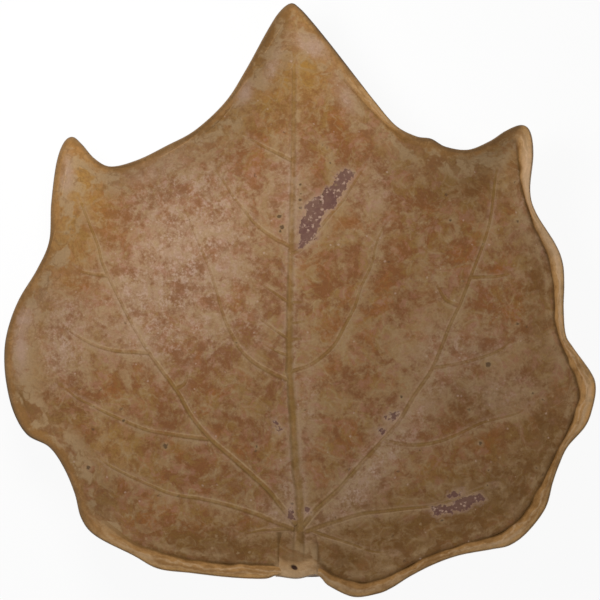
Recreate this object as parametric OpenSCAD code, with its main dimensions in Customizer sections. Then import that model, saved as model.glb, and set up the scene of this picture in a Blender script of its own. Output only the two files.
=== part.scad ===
// Leaf shaped plate, hand built from stoneware clay
// A leaf cut from a rolled slab lies in a shallow bowl shape, with a rolled lip
// luted along its edge and the leaf's veins laid on as thin strands.
// X is the leaf's width, +Y points to its tip, Z is up, and the table is at z = 0.

/* [Leaf] */
// Width across the side lobes
leaf_w = 250; // [200:5:300]
// Length from the tip to the lobe below the stem
leaf_l = 251; // [200:1:300]
// Thickness of the rolled slab
slab_t = 6; // [4:0.5:9]

/* [Dish] */
// Rise of the bowl shape from the flat foot to the leaf's box
bowl_h = 11; // [6:0.5:20]
// Further rise of the margin, which is pinched up by hand
edge_h = 11; // [5:0.5:16]
// Width of the margin that is pinched up
edge_band = 36; // [24:1:45]

/* [Lip] */
// Width of the lip where it is narrow, at the upper left
lip_w_narrow = 4.2; // [3:0.1:6]
// Width of the lip where it is wide, at the lower right
lip_w_wide = 7.2; // [6:0.1:9]
// Height of the lip's crown over the slab's top
lip_crown = 0.8; // [0.4:0.1:2]

/* [Stem] */
// Width of the stem's stub
stem_w = 15.5; // [12:0.5:16]
// Length of the stem's stub
stem_l = 20; // [14:0.5:26]
// Distance of the stub's end from the slab's edge
stem_setback = 1.4; // [1:0.1:3]
// Height of the stub over the slab
stem_h = 2.2; // [1.6:0.1:4]
// Height of the stub's side walls
stem_side_h = 1; // [0.6:0.1:1.4]

/* [Veins] */
// Width of the midrib at the stem
midrib_w = 3.8; // [2.5:0.1:4]
// Height of the midrib at the stem
midrib_h = 1.5; // [0.8:0.1:2.5]
// Width of the two main side veins at the stem
main_w = 3.2; // [2:0.1:4]
// Height of the two main side veins
main_h = 1.2; // [0.6:0.1:2]
// Width of the basal veins at the stem
basal_w = 2.8; // [1.6:0.1:3]
// Height of the basal veins
basal_h = 1; // [0.5:0.1:1.6]
// Width of the branch veins at their start
branch_w = 2.4; // [1.2:0.1:3]
// Height of the branch veins
branch_h = 0.8; // [0.4:0.1:1.4]
// Width of the fine veins beside the midrib
fine_w = 1.6; // [0.8:0.1:2]
// Height of the fine veins
fine_h = 0.5; // [0.3:0.1:0.9]

/* [Joints in the clay] */
// Thickness of the slip between two luted pieces
slip = 0.2; // [0.2:0.05:0.3]

/* [Hidden] */

clay_color = "#8a6a4a";
lip_color = "#a07c4c";
vein_color = "#95754a";

half = [leaf_w / 2, leaf_l / 2];

// Shares of the half width and half length, from the tip round by the left side
outline_shares = [
    [-0.03, 1], [-0.068, 0.973], [-0.11, 0.91], [-0.184, 0.777], [-0.254, 0.669],
    [-0.355, 0.575], [-0.45, 0.523], [-0.55, 0.474], [-0.64, 0.451], [-0.695, 0.477],
    [-0.738, 0.525], [-0.77, 0.55], [-0.8, 0.53], [-0.825, 0.46], [-0.843, 0.325],
    [-0.85, 0.2], [-0.89, 0.105], [-0.95, 0.005], [-0.985, -0.085], [-1, -0.17],
    [-0.995, -0.27], [-0.97, -0.375], [-0.923, -0.454], [-0.849, -0.496], [-0.8, -0.565],
    [-0.763, -0.651], [-0.739, -0.737], [-0.689, -0.796], [-0.565, -0.86], [-0.48, -0.905],
    [-0.37, -0.92], [-0.24, -0.935], [-0.125, -0.94], [-0.085, -0.93], [-0.072, -0.93],
    [-0.01, -0.937], [0.045, -0.926], [0.062, -0.93], [0.074, -0.94], [0.1, -0.965], [0.18, -1],
    [0.26, -0.99], [0.31, -0.97], [0.375, -0.93], [0.455, -0.89], [0.54, -0.86],
    [0.645, -0.84], [0.71, -0.825], [0.77, -0.78], [0.83, -0.7], [0.855, -0.615],
    [0.876, -0.556], [0.905, -0.495], [0.965, -0.425], [0.99, -0.36], [1, -0.295],
    [0.985, -0.245], [0.925, -0.16], [0.9, -0.115], [0.893, -0.03], [0.895, 0.055],
    [0.89, 0.125], [0.865, 0.19], [0.8, 0.295], [0.78, 0.37], [0.79, 0.49],
    [0.78, 0.565], [0.75, 0.59], [0.697, 0.571], [0.642, 0.536], [0.57, 0.508],
    [0.495, 0.518], [0.445, 0.545], [0.393, 0.554], [0.325, 0.59], [0.255, 0.67],
    [0.2, 0.74], [0.11, 0.855], [0.04, 0.94], [0, 0.983]
];
// Steps along that table, from the tip, to the lip's two ends and the tongue between them
lip_end_left_steps = 33;
tongue_left_steps = 34;
tongue_right_steps = 37;
lip_end_right_steps = 38;

// Point inside the leaf from which every part of its edge is in sight
hub_shares = [-0.2, -0.22];
// Rings of the slab, as shares of the way from that point to the edge
ring_shares = [0.22, 0.42, 0.54, 0.62, 0.69, 0.75, 0.8, 0.85, 0.89, 0.93, 0.965, 1];
// Flat foot, as a share of the way out to the leaf's box
foot_share = 0.34;

// Stretch over which the lip's seam cuts the leaf's tips short, in steps each way
seam_steps = 3;
// Direction of the lip's wide side, in degrees from the leaf's right
heavy_side_turn = -40;
// Section of the lip: share of its width, share of its height
lip_section_shares = [
    [0, 0], [0.5, 0], [0.86, 0.16], [1, 0.48], [0.9, 0.82], [0.62, 1], [0.28, 0.99], [0, 0.9]
];

// Section of a vein: share of its width, share of its height
vein_section_shares = [[0.5, 0], [0.3, 0.6], [0, 1], [-0.3, 0.6], [-0.5, 0]];
// Width and height that are left at a vein's far end
vein_end_share = 0.4;
// Rise of the stub at its inner end, where it runs out into the floor
stem_run_out_share = 0.3;

edge_steps = 2;
chord_steps = 5;
pull_steps = 3;
vein_steps = 2;
stem_cells = [6, 6];

// Routes of the veins, as shares of the half width and half length
midrib_shares = [
    [0, -0.73], [0, -0.674], [-0.015, -0.553], [-0.023, -0.4], [-0.035, -0.235],
    [-0.035, -0.075], [-0.03, 0.17], [-0.025, 0.365], [-0.02, 0.65], [-0.02, 0.83]
];
main_left_shares = [
    [-0.065, -0.7], [-0.11, -0.645], [-0.173, -0.587], [-0.238, -0.53], [-0.305, -0.472],
    [-0.37, -0.395], [-0.414, -0.317], [-0.465, -0.247], [-0.512, -0.183], [-0.563, -0.098],
    [-0.603, -0.021], [-0.668, 0.114], [-0.685, 0.178], [-0.712, 0.249], [-0.735, 0.308],
    [-0.754, 0.36]
];
main_right_shares = [
    [0.055, -0.71], [0.128, -0.644], [0.213, -0.55], [0.29, -0.466], [0.336, -0.412],
    [0.389, -0.324], [0.446, -0.24], [0.48, -0.162], [0.511, -0.085], [0.551, 0],
    [0.582, 0.082], [0.622, 0.185], [0.646, 0.269], [0.656, 0.346], [0.666, 0.43],
    [0.687, 0.474]
];
basal_left_shares = [
    [-0.095, -0.748], [-0.143, -0.728], [-0.238, -0.698], [-0.336, -0.674],
    [-0.434, -0.658], [-0.512, -0.627], [-0.597, -0.587], [-0.654, -0.555], [-0.69, -0.523]
];
basal_right_shares = [
    [0.08, -0.762], [0.128, -0.748], [0.206, -0.725], [0.29, -0.715], [0.362, -0.706],
    [0.439, -0.698], [0.517, -0.678], [0.595, -0.644], [0.673, -0.62]
];
lower_left_shares = [[-0.1, -0.778], [-0.123, -0.778], [-0.167, -0.787], [-0.21, -0.8]];
lower_right_shares = [
    [0.09, -0.798], [0.128, -0.81], [0.182, -0.828], [0.246, -0.85], [0.324, -0.855]
];
branch_left_routes_shares = [
    [
        [-0.34, -0.47], [-0.4, -0.462], [-0.465, -0.452], [-0.53, -0.438], [-0.603, -0.407],
        [-0.661, -0.381], [-0.705, -0.358], [-0.757, -0.331], [-0.803, -0.294], [-0.84, -0.27]
    ],
    [
        [-0.55, -0.178], [-0.627, -0.173], [-0.691, -0.156], [-0.746, -0.129],
        [-0.796, -0.092], [-0.84, -0.051]
    ],
    [[-0.395, -0.285], [-0.385, -0.258], [-0.373, -0.213]],
    [[-0.69, 0.085], [-0.746, 0.097], [-0.776, 0.114]]
];
branch_right_routes_shares = [
    [
        [0.49, -0.225], [0.551, -0.213], [0.615, -0.196], [0.673, -0.173],
        [0.717, -0.142], [0.751, -0.129]
    ],
    [
        [0.324, -0.484], [0.389, -0.492], [0.467, -0.481], [0.538, -0.455],
        [0.615, -0.418], [0.687, -0.398], [0.744, -0.381], [0.788, -0.348]
    ],
    [[0.609, 0.077], [0.687, 0.082], [0.744, 0.107]],
    [[0.497, 0], [0.475, 0.035], [0.453, 0.077]]
];
midrib_left_routes_shares = [
    [
        [-0.06, -0.265], [-0.106, -0.243], [-0.16, -0.21], [-0.204, -0.166], [-0.244, -0.095],
        [-0.268, -0.031], [-0.285, 0.033], [-0.316, 0.124], [-0.346, 0.195], [-0.38, 0.279],
        [-0.41, 0.35]
    ],
    [
        [-0.06, 0.195], [-0.082, 0.205], [-0.146, 0.252], [-0.197, 0.313], [-0.231, 0.356],
        [-0.268, 0.414], [-0.309, 0.466]
    ],
    [[-0.055, 0.486], [-0.079, 0.498], [-0.143, 0.53], [-0.194, 0.565]]
];
midrib_right_routes_shares = [
    [
        [-0.008, -0.235], [0.03, -0.223], [0.074, -0.193], [0.121, -0.146], [0.152, -0.088],
        [0.186, -0.024], [0.209, 0.047], [0.243, 0.117], [0.257, 0.181], [0.275, 0.228],
        [0.307, 0.279]
    ],
    [
        [0.003, 0.175], [0.053, 0.228], [0.101, 0.286], [0.145, 0.336], [0.186, 0.4],
        [0.23, 0.466]
    ]
];
fine_routes_shares = [
    [[-0.06, 0.006], [-0.11, 0.04], [-0.16, 0.073]],
    [[-0.062, -0.118], [-0.11, -0.083], [-0.16, -0.053]],
    [[-0.068, -0.179], [-0.11, -0.157], [-0.146, -0.139]],
    [[0, -0.075], [0.022, -0.069], [0.048, -0.061]],
    [[0, -0.007], [0.02, -0.007], [0.042, -0.004]],
    [[0, -0.132], [0.02, -0.132], [0.042, -0.132]]
];

// A smooth curve between b and c, drawn on by a and d
function bend(a, b, c, d, t) =
    (2 * b + (c - a) * t + (2 * a - 5 * b + 4 * c - d) * t ^ 2
    + (3 * b - a - 3 * c + d) * t ^ 3) / 2;
function scaled(share) = [share[0] * half[0], share[1] * half[1]];
function loop_item(list, k) = list[(k + len(list)) % len(list)];

// The leaf's edge, and the way out of it over a chord wide enough to smooth the tips
function edge_point(k) =
    let (i = floor(k / edge_steps), t = k / edge_steps - i)
    scaled(bend(
        loop_item(outline_shares, i - 1), loop_item(outline_shares, i),
        loop_item(outline_shares, i + 1), loop_item(outline_shares, i + 2), t
    ));
edge_n = len(outline_shares) * edge_steps;
edge = [for (k = [0:edge_n - 1]) edge_point(k)];
function outward(k) =
    let (chord = loop_item(edge, k + chord_steps) - loop_item(edge, k - chord_steps))
    [chord[1], -chord[0]] / norm(chord);

// The lip swells toward its wide side, and the slab ends at the lip's seam
heavy_side = [cos(heavy_side_turn), sin(heavy_side_turn)];
function lip_w(k) =
    lip_w_narrow + (lip_w_wide - lip_w_narrow) * (1 + outward(k) * heavy_side) / 2;
function is_tongue(k) = k >= tongue_left_steps * edge_steps && k <= tongue_right_steps * edge_steps;
inset = [for (k = [0:edge_n - 1]) edge[k] - outward(k) * lip_w(k)];
function mean(points) = [for (p = points) 1] * points / len(points);
function seam_point(k) = mean([for (j = [-seam_steps:seam_steps]) loop_item(inset, k + j)]);
slab_edge = [
    for (k = [0:edge_n - 1]) is_tongue(k) ? edge[k] - outward(k) * slip : seam_point(k)
];

// Way from a point of the plan to the leaf's edge, smoothed where two stretches are near.
// Each short stretch pulls with its length over the fourth power of its distance, and the
// pull of a long straight edge at a distance d comes to pi / (2 d ^ 3).
stretches = [
    for (k = [0:edge_n - 1], j = [0:pull_steps - 1])
        let (along = (loop_item(edge, k + 1) - edge[k]) / pull_steps)
        [edge[k] + along * j, norm(along)]
];
function edge_gap(p) =
    let (pulls = [for (s = stretches) s[1] / norm(p - s[0]) ^ 4])
    (PI / 2 / (pulls * [for (pull = pulls) 1])) ^ (1 / 3);

// Height of the underside and of the slab's top over a point of the plan
function under(p) =
    let (bowl_x = norm([p[0] / half[0], p[1] / half[1]]))
    bowl_h * (max(0, bowl_x - foot_share) / (1 - foot_share)) ^ 2
    + edge_h * max(0, 1 - edge_gap(p) / edge_band) ^ 2;
function top_point(p, rise) = [p[0], p[1], under(p) + slab_t + rise];

// Two triangles between items i and i + 1 of two rings of n points each
function band(a, b, n, i) =
    let (j = (i + 1) % n)
    [[a + i, a + j, b + j], [a + i, b + j, b + i]];
function flipped(faces) = [for (f = faces) [f[2], f[1], f[0]]];

// A closed solid through rings of as many points each, with a fan over both ends
module strand(rings) {
    n = len(rings[0]);
    last = (len(rings) - 1) * n;
    polyhedron(
        points = [for (ring = rings, p = ring) p],
        faces = concat(
            [for (r = [0:len(rings) - 2], i = [0:n - 1], f = band(r * n, (r + 1) * n, n, i)) f],
            [for (i = [1:n - 2]) [0, i + 1, i]],
            [for (i = [1:n - 2]) [last, last + i, last + i + 1]]
        ),
        convexity = 6
    );
}

module leaf_slab() {
    hub = scaled(hub_shares);
    rings_n = len(ring_shares);
    side_n = 1 + rings_n * edge_n;
    plan = concat([hub], [for (share = ring_shares, p = slab_edge) hub + (p - hub) * share]);
    bottom = [for (p = plan) [p[0], p[1], under(p)]];
    top_faces = concat(
        [for (k = [0:edge_n - 1]) [0, 1 + (k + 1) % edge_n, 1 + k]],
        [
            for (r = [0:rings_n - 2], k = [0:edge_n - 1])
                each band(1 + r * edge_n, 1 + (r + 1) * edge_n, edge_n, k)
        ]
    );
    rim = 1 + (rings_n - 1) * edge_n;
    color(clay_color)
        polyhedron(
            points = concat([for (p = bottom) [p[0], p[1], p[2] + slab_t]], bottom),
            faces = concat(
                top_faces,
                flipped([for (f = top_faces) [for (i = f) i + side_n]]),
                [for (k = [0:edge_n - 1]) each band(rim, rim + side_n, edge_n, k)]
            ),
            convexity = 6
        );
}

// The lip runs from the stem's right side round by the tip to its left side
module rim_lip() {
    first = lip_end_right_steps * edge_steps;
    last = edge_n + lip_end_left_steps * edge_steps;
    lip_t = slab_t + lip_crown;
    color(lip_color)
        strand([
            for (k = [first:last])
                let (
                    seam = seam_point(k % edge_n),
                    across = edge[k % edge_n] - seam,
                    inner = slip / norm(across)
                )
                [
                    for (s = lip_section_shares)
                        let (p = seam + across * (inner + (1 - inner) * s[0]))
                        [p[0], p[1], under(p) + lip_t * s[1]]
                ]
        ]);
}

// The stub lies on the slab's tongue and closes the gap between the lip's ends
stem_end = (edge[tongue_left_steps * edge_steps] + edge[tongue_right_steps * edge_steps]) / 2
    + [0, stem_setback];
stem_start = stem_end + [0, stem_l];
module stem_stub() {
    nx = stem_cells[0];
    ny = stem_cells[1];
    color(lip_color)
        strand([
            for (j = [0:ny])
                let (x = stem_end[0], y = stem_end[1] + stem_l * (1 - j / ny))
                let (grow = stem_run_out_share + (1 - stem_run_out_share) * sin(90 * j / ny))
                concat(
                    [
                        for (i = [nx:-1:0])
                            let (across = 2 * i / nx - 1, p = [x + across * stem_w / 2, y])
                            top_point(p, slip)
                    ],
                    [
                        for (i = [0:nx])
                            let (across = 2 * i / nx - 1, p = [x + across * stem_w / 2, y])
                            let (round_h = (stem_h - stem_side_h) * (1 - across ^ 2))
                            top_point(p, slip + (stem_side_h + round_h) * grow)
                    ]
                )
        ]);
}

// A vein narrows from its start to its far end, and its base follows the slab
module vein(route_shares, wide, high) {
    last = (len(route_shares) - 1) * vein_steps;
    function at(i) = scaled(route_shares[max(0, min(len(route_shares) - 1, i))]);
    line = [
        for (k = [0:last])
            let (i = min(floor(k / vein_steps), len(route_shares) - 2), t = k / vein_steps - i)
            bend(at(i - 1), at(i), at(i + 1), at(i + 2), t)
    ];
    strand([
        for (k = [0:last])
            let (
                ahead = line[min(last, k + 1)] - line[max(0, k - 1)],
                aside = [ahead[1], -ahead[0]] / norm(ahead),
                left_share = 1 - (1 - vein_end_share) * k / last
            )
            [
                for (s = vein_section_shares)
                    top_point(line[k] + aside * wide * left_share * s[0],
                        slip + high * left_share * s[1])
            ]
    ]);
}
module veins(routes, wide, high) {
    for (route = routes) vein(route, wide, high);
}

// The midrib starts where the stub ends
midrib_start_share = (stem_start[1] + slip) / half[1];
module midrib() {
    color(vein_color)
        vein(concat([[0, midrib_start_share]], midrib_shares), midrib_w, midrib_h);
}
module main_vein_left() { color(vein_color) vein(main_left_shares, main_w, main_h); }
module main_vein_right() { color(vein_color) vein(main_right_shares, main_w, main_h); }
module basal_vein_left() { color(vein_color) vein(basal_left_shares, basal_w, basal_h); }
module basal_vein_right() { color(vein_color) vein(basal_right_shares, basal_w, basal_h); }
module lower_vein_left() { color(vein_color) vein(lower_left_shares, fine_w, fine_h); }
module lower_vein_right() { color(vein_color) vein(lower_right_shares, fine_w, fine_h); }
module branch_veins_left() {
    color(vein_color) veins(branch_left_routes_shares, branch_w, branch_h);
}
module branch_veins_right() {
    color(vein_color) veins(branch_right_routes_shares, branch_w, branch_h);
}
module midrib_veins_left() {
    color(vein_color) veins(midrib_left_routes_shares, branch_w, branch_h);
}
module midrib_veins_right() {
    color(vein_color) veins(midrib_right_routes_shares, branch_w, branch_h);
}
module fine_veins() { color(vein_color) veins(fine_routes_shares, fine_w, fine_h); }

leaf_slab();
rim_lip();
stem_stub();
midrib();
main_vein_left();
main_vein_right();
basal_vein_left();
basal_vein_right();
lower_vein_left();
lower_vein_right();
branch_veins_left();
branch_veins_right();
midrib_veins_left();
midrib_veins_right();
fine_veins();
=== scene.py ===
"""Looks of a leaf shaped plate, hand built from stoneware under a mottled brown glaze.

The clay is worked out on numpy grids from the leaf's outline, the rise of its margin and the
routes of its veins, and every finish is procedural. Lengths are in metres. Tables whose names
end in SHARES hold places as shares of the leaf's half width and half length.
"""

import logging
import math
from dataclasses import dataclass, field
from enum import Enum
from typing import Callable, Sequence, Union

import bpy
import numpy as np
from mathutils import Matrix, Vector


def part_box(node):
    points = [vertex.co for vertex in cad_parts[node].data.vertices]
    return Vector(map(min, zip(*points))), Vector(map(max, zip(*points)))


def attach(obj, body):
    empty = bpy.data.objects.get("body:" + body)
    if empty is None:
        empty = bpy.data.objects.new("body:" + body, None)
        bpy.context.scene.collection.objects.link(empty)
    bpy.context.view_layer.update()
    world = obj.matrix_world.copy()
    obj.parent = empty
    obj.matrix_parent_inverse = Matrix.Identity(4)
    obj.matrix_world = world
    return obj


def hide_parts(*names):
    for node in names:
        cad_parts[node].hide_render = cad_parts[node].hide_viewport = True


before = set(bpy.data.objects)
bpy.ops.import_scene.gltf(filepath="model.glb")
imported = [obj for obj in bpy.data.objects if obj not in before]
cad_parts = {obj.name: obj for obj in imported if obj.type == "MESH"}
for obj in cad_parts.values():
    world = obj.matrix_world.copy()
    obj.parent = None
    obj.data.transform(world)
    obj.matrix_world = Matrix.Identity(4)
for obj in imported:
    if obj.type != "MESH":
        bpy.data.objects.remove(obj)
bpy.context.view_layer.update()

LOG = logging.getLogger("leaf_plate")
BODY = "root"
MM = 0.001
# Points that are worked on at once
BLOCK = 6000
# A way in metres that is longer than any that a finish asks for
FAR = 1.0
# Share of its width that a vein loses on its way
VEIN_TAPER = 0.55
WHITE = (1, 1, 1, 1)
Value = Union["Wire", float, Sequence[float]]

# The leaf's edge, from the tip round by the left side
OUTLINE_SHARES = (
    (-0.03, 1), (-0.068, 0.973), (-0.11, 0.91), (-0.184, 0.777), (-0.254, 0.669),
    (-0.355, 0.575), (-0.45, 0.523), (-0.55, 0.474), (-0.64, 0.451), (-0.695, 0.477),
    (-0.738, 0.525), (-0.77, 0.55), (-0.8, 0.53), (-0.825, 0.46), (-0.843, 0.325),
    (-0.85, 0.2), (-0.89, 0.105), (-0.95, 0.005), (-0.985, -0.085), (-1, -0.17),
    (-0.995, -0.27), (-0.97, -0.375), (-0.923, -0.454), (-0.849, -0.496), (-0.8, -0.565),
    (-0.763, -0.651), (-0.739, -0.737), (-0.689, -0.796), (-0.565, -0.86), (-0.48, -0.905),
    (-0.37, -0.92), (-0.24, -0.935), (-0.125, -0.94), (-0.085, -0.93), (-0.072, -0.93),
    (-0.01, -0.937), (0.045, -0.926), (0.062, -0.93), (0.074, -0.94), (0.1, -0.965),
    (0.18, -1), (0.26, -0.99), (0.31, -0.97), (0.375, -0.93), (0.455, -0.89),
    (0.54, -0.86), (0.645, -0.84), (0.71, -0.825), (0.77, -0.78), (0.83, -0.7),
    (0.855, -0.615), (0.876, -0.556), (0.905, -0.495), (0.965, -0.425), (0.99, -0.36),
    (1, -0.295), (0.985, -0.245), (0.925, -0.16), (0.9, -0.115), (0.893, -0.03),
    (0.895, 0.055), (0.89, 0.125), (0.865, 0.19), (0.8, 0.295), (0.78, 0.37),
    (0.79, 0.49), (0.78, 0.565), (0.75, 0.59), (0.697, 0.571), (0.642, 0.536),
    (0.57, 0.508), (0.495, 0.518), (0.445, 0.545), (0.393, 0.554), (0.325, 0.59),
    (0.255, 0.67), (0.2, 0.74), (0.11, 0.855), (0.04, 0.94), (0, 0.983),
)
# Places in that table of the lip's two ends and of the slab's tongue between them
LIP_END_LEFT, TONGUE_LEFT, TONGUE_RIGHT, LIP_END_RIGHT = 33, 34, 37, 38

MIDRIB_SHARES = (
    (0, -0.82), (0, -0.757), (0, -0.73), (0, -0.674), (-0.015, -0.553), (-0.023, -0.4),
    (-0.035, -0.235), (-0.035, -0.075), (-0.03, 0.17), (-0.025, 0.365), (-0.02, 0.65),
    (-0.02, 0.83),
)
MAIN_LEFT_SHARES = (
    (-0.012, -0.762), (-0.065, -0.7), (-0.11, -0.645), (-0.173, -0.587), (-0.238, -0.53),
    (-0.305, -0.472), (-0.37, -0.395), (-0.414, -0.317), (-0.465, -0.247), (-0.512, -0.183),
    (-0.563, -0.098), (-0.603, -0.021), (-0.668, 0.114), (-0.685, 0.178), (-0.712, 0.249),
    (-0.735, 0.308), (-0.754, 0.36),
)
MAIN_RIGHT_SHARES = (
    (0.01, -0.765), (0.055, -0.71), (0.128, -0.644), (0.213, -0.55), (0.29, -0.466),
    (0.336, -0.412), (0.389, -0.324), (0.446, -0.24), (0.48, -0.162), (0.511, -0.085),
    (0.551, 0), (0.582, 0.082), (0.622, 0.185), (0.646, 0.269), (0.656, 0.346), (0.666, 0.43),
    (0.687, 0.474),
)
BASAL_LEFT_SHARES = (
    (-0.02, -0.777), (-0.095, -0.748), (-0.143, -0.728), (-0.238, -0.698), (-0.336, -0.674),
    (-0.434, -0.658), (-0.512, -0.627), (-0.597, -0.587), (-0.654, -0.555), (-0.69, -0.523),
)
BASAL_RIGHT_SHARES = (
    (0.02, -0.785), (0.08, -0.762), (0.128, -0.748), (0.206, -0.725), (0.29, -0.715),
    (0.362, -0.706), (0.439, -0.698), (0.517, -0.678), (0.595, -0.644), (0.673, -0.62),
)
LOWER_LEFT_SHARES = (
    (-0.04, -0.775), (-0.1, -0.778), (-0.123, -0.778), (-0.167, -0.787), (-0.21, -0.8),
)
LOWER_RIGHT_SHARES = (
    (0.04, -0.78), (0.09, -0.798), (0.128, -0.81), (0.182, -0.828), (0.246, -0.85),
    (0.324, -0.855),
)
BRANCH_LEFT_SHARES = (
    (
        (-0.312, -0.472), (-0.34, -0.47), (-0.4, -0.462), (-0.465, -0.452), (-0.53, -0.438),
        (-0.603, -0.407), (-0.661, -0.381), (-0.705, -0.358), (-0.757, -0.331),
        (-0.803, -0.294), (-0.84, -0.27),
    ),
    (
        (-0.515, -0.181), (-0.55, -0.178), (-0.627, -0.173), (-0.691, -0.156), (-0.746, -0.129),
        (-0.796, -0.092), (-0.84, -0.051),
    ),
    ((-0.424, -0.302), (-0.395, -0.285), (-0.385, -0.258), (-0.373, -0.213)),
    ((-0.655, 0.082), (-0.69, 0.085), (-0.746, 0.097), (-0.776, 0.114)),
)
BRANCH_RIGHT_SHARES = (
    (
        (0.454, -0.229), (0.49, -0.225), (0.551, -0.213), (0.615, -0.196), (0.673, -0.173),
        (0.717, -0.142), (0.751, -0.129),
    ),
    (
        (0.284, -0.476), (0.324, -0.484), (0.389, -0.492), (0.467, -0.481), (0.538, -0.455),
        (0.615, -0.418), (0.687, -0.398), (0.744, -0.381), (0.788, -0.348),
    ),
    ((0.578, 0.077), (0.609, 0.077), (0.687, 0.082), (0.744, 0.107)),
    ((0.54, -0.02), (0.497, 0), (0.475, 0.035), (0.453, 0.077)),
)
MIDRIB_LEFT_SHARES = (
    (
        (-0.036, -0.272), (-0.06, -0.265), (-0.106, -0.243), (-0.16, -0.21), (-0.204, -0.166),
        (-0.244, -0.095), (-0.268, -0.031), (-0.285, 0.033), (-0.316, 0.124), (-0.346, 0.195),
        (-0.38, 0.279), (-0.41, 0.35),
    ),
    (
        (-0.031, 0.18), (-0.06, 0.195), (-0.082, 0.205), (-0.146, 0.252), (-0.197, 0.313),
        (-0.231, 0.356), (-0.268, 0.414), (-0.309, 0.466),
    ),
    ((-0.024, 0.47), (-0.055, 0.486), (-0.079, 0.498), (-0.143, 0.53), (-0.194, 0.565)),
)
MIDRIB_RIGHT_SHARES = (
    (
        (-0.034, -0.245), (-0.008, -0.235), (0.03, -0.223), (0.074, -0.193), (0.121, -0.146),
        (0.152, -0.088), (0.186, -0.024), (0.209, 0.047), (0.243, 0.117), (0.257, 0.181),
        (0.275, 0.228), (0.307, 0.279),
    ),
    (
        (-0.029, 0.155), (0.003, 0.175), (0.053, 0.228), (0.101, 0.286), (0.145, 0.336),
        (0.186, 0.4), (0.23, 0.466),
    ),
)
FINE_SHARES = (
    ((-0.034, -0.012), (-0.06, 0.006), (-0.11, 0.04), (-0.16, 0.073)),
    ((-0.036, -0.132), (-0.062, -0.118), (-0.11, -0.083), (-0.16, -0.053)),
    ((-0.036, -0.19), (-0.068, -0.179), (-0.11, -0.157), (-0.146, -0.139)),
    ((-0.034, -0.08), (0, -0.075), (0.022, -0.069), (0.048, -0.061)),
    ((-0.033, -0.008), (0, -0.007), (0.02, -0.007), (0.042, -0.004)),
    ((-0.035, -0.133), (0, -0.132), (0.02, -0.132), (0.042, -0.132)),
)

# Patches where the glaze crawled off the clay
BARE_PATCH_SHARES = (
    (
        (0.153, 0.447), (0.187, 0.431), (0.173, 0.412), (0.163, 0.391), (0.153, 0.367),
        (0.118, 0.316), (0.09, 0.299), (0.07, 0.264), (0.056, 0.213), (0.032, 0.19),
        (-0.003, 0.177), (-0.003, 0.219), (-0.001, 0.271), (0.018, 0.292), (0.015, 0.323),
        (0.046, 0.346), (0.08, 0.371), (0.118, 0.398), (0.122, 0.419),
    ),
    (
        (0.44, -0.7), (0.5, -0.695), (0.56, -0.665), (0.615, -0.66), (0.625, -0.675),
        (0.57, -0.7), (0.53, -0.715), (0.46, -0.73),
    ),
    (
        (0.504, -0.664), (0.514, -0.654), (0.534, -0.651), (0.548, -0.641), (0.554, -0.644),
        (0.551, -0.658), (0.534, -0.668), (0.514, -0.673),
    ),
    (
        (-0.092, -0.408), (-0.071, -0.415), (-0.062, -0.435), (-0.07, -0.455), (-0.088, -0.446),
        (-0.084, -0.428),
    ),
    (
        (-0.036, -0.686), (-0.02, -0.7), (-0.026, -0.72), (-0.018, -0.74), (-0.032, -0.75),
        (-0.044, -0.728), (-0.04, -0.706),
    ),
    ((0.016, -0.706), (0.034, -0.71), (0.036, -0.73), (0.018, -0.732)),
    (
        (0.286, -0.396), (0.31, -0.384), (0.338, -0.378), (0.334, -0.396), (0.308, -0.408),
        (0.29, -0.408),
    ),
    ((0.264, -0.456), (0.266, -0.436), (0.286, -0.434), (0.284, -0.456)),
)
# Lines pressed beside the tongue, where the two bottom lobes meet it; the floor's finish
# darkens them with painted shade
STEM_LINE_SHARES = (
    ((-0.07, -0.776), (-0.068, -0.826), (-0.067, -0.877)),
    ((0.0535, -0.826), (0.06, -0.863), (0.074, -0.89), (0.0975, -0.917), (0.128, -0.944)),
)


def plan_of(shares: Sequence[Sequence[float]], half: np.ndarray) -> np.ndarray:
    """Places in plan.

    Args:
        shares: Shares of the half width and half length, one row a point.
        half: Half width and half length.

    Returns:
        Points as an array of x and y.
    """
    return np.asarray(shares, float) * half


def smooth_curve(points: np.ndarray, steps: int, closed: bool) -> np.ndarray:
    """Smooth curve through points.

    Between b and c, with a before and d after them, the curve is
    (2b + (c - a) t + (2a - 5b + 4c - d) t^2 + (3b - a - 3c + d) t^3) / 2, for t from 0 to 1.

    Args:
        points: Points that the curve passes, one a row.
        steps: Steps between two of them.
        closed: Whether the last point leads on to the first.

    Returns:
        Points along the curve, one a row.
    """
    if closed:
        a, b, c, d = (np.roll(points, -shift, axis=0) for shift in (-1, 0, 1, 2))
    else:
        padded = np.concatenate([points[:1], points, points[-1:]])
        a, b, c, d = padded[:-3], padded[1:-2], padded[2:-1], padded[3:]
    t = (np.arange(steps) / steps)[None, :, None]
    a, b, c, d = (item[:, None, :] for item in (a, b, c, d))
    curve = (2 * b + (c - a) * t + (2 * a - 5 * b + 4 * c - d) * t ** 2
             + (3 * b - a - 3 * c + d) * t ** 3) / 2
    curve = curve.reshape(-1, points.shape[1])
    return curve if closed else np.concatenate([curve, points[-1:]])


def smoothstep(value: np.ndarray, start: float, end: float) -> np.ndarray:
    """Smooth rise from 0 at start to 1 at end: 3 t^2 - 2 t^3, for the share t of the way."""
    t = np.clip((value - start) / (end - start), 0, 1)
    return t * t * (3 - 2 * t)


def in_blocks(work: Callable[[np.ndarray], np.ndarray], plan: np.ndarray) -> np.ndarray:
    """Runs work on a few thousand points at a time, to keep its arrays small."""
    return np.concatenate([work(plan[i:i + BLOCK]) for i in range(0, len(plan), BLOCK)])


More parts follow.
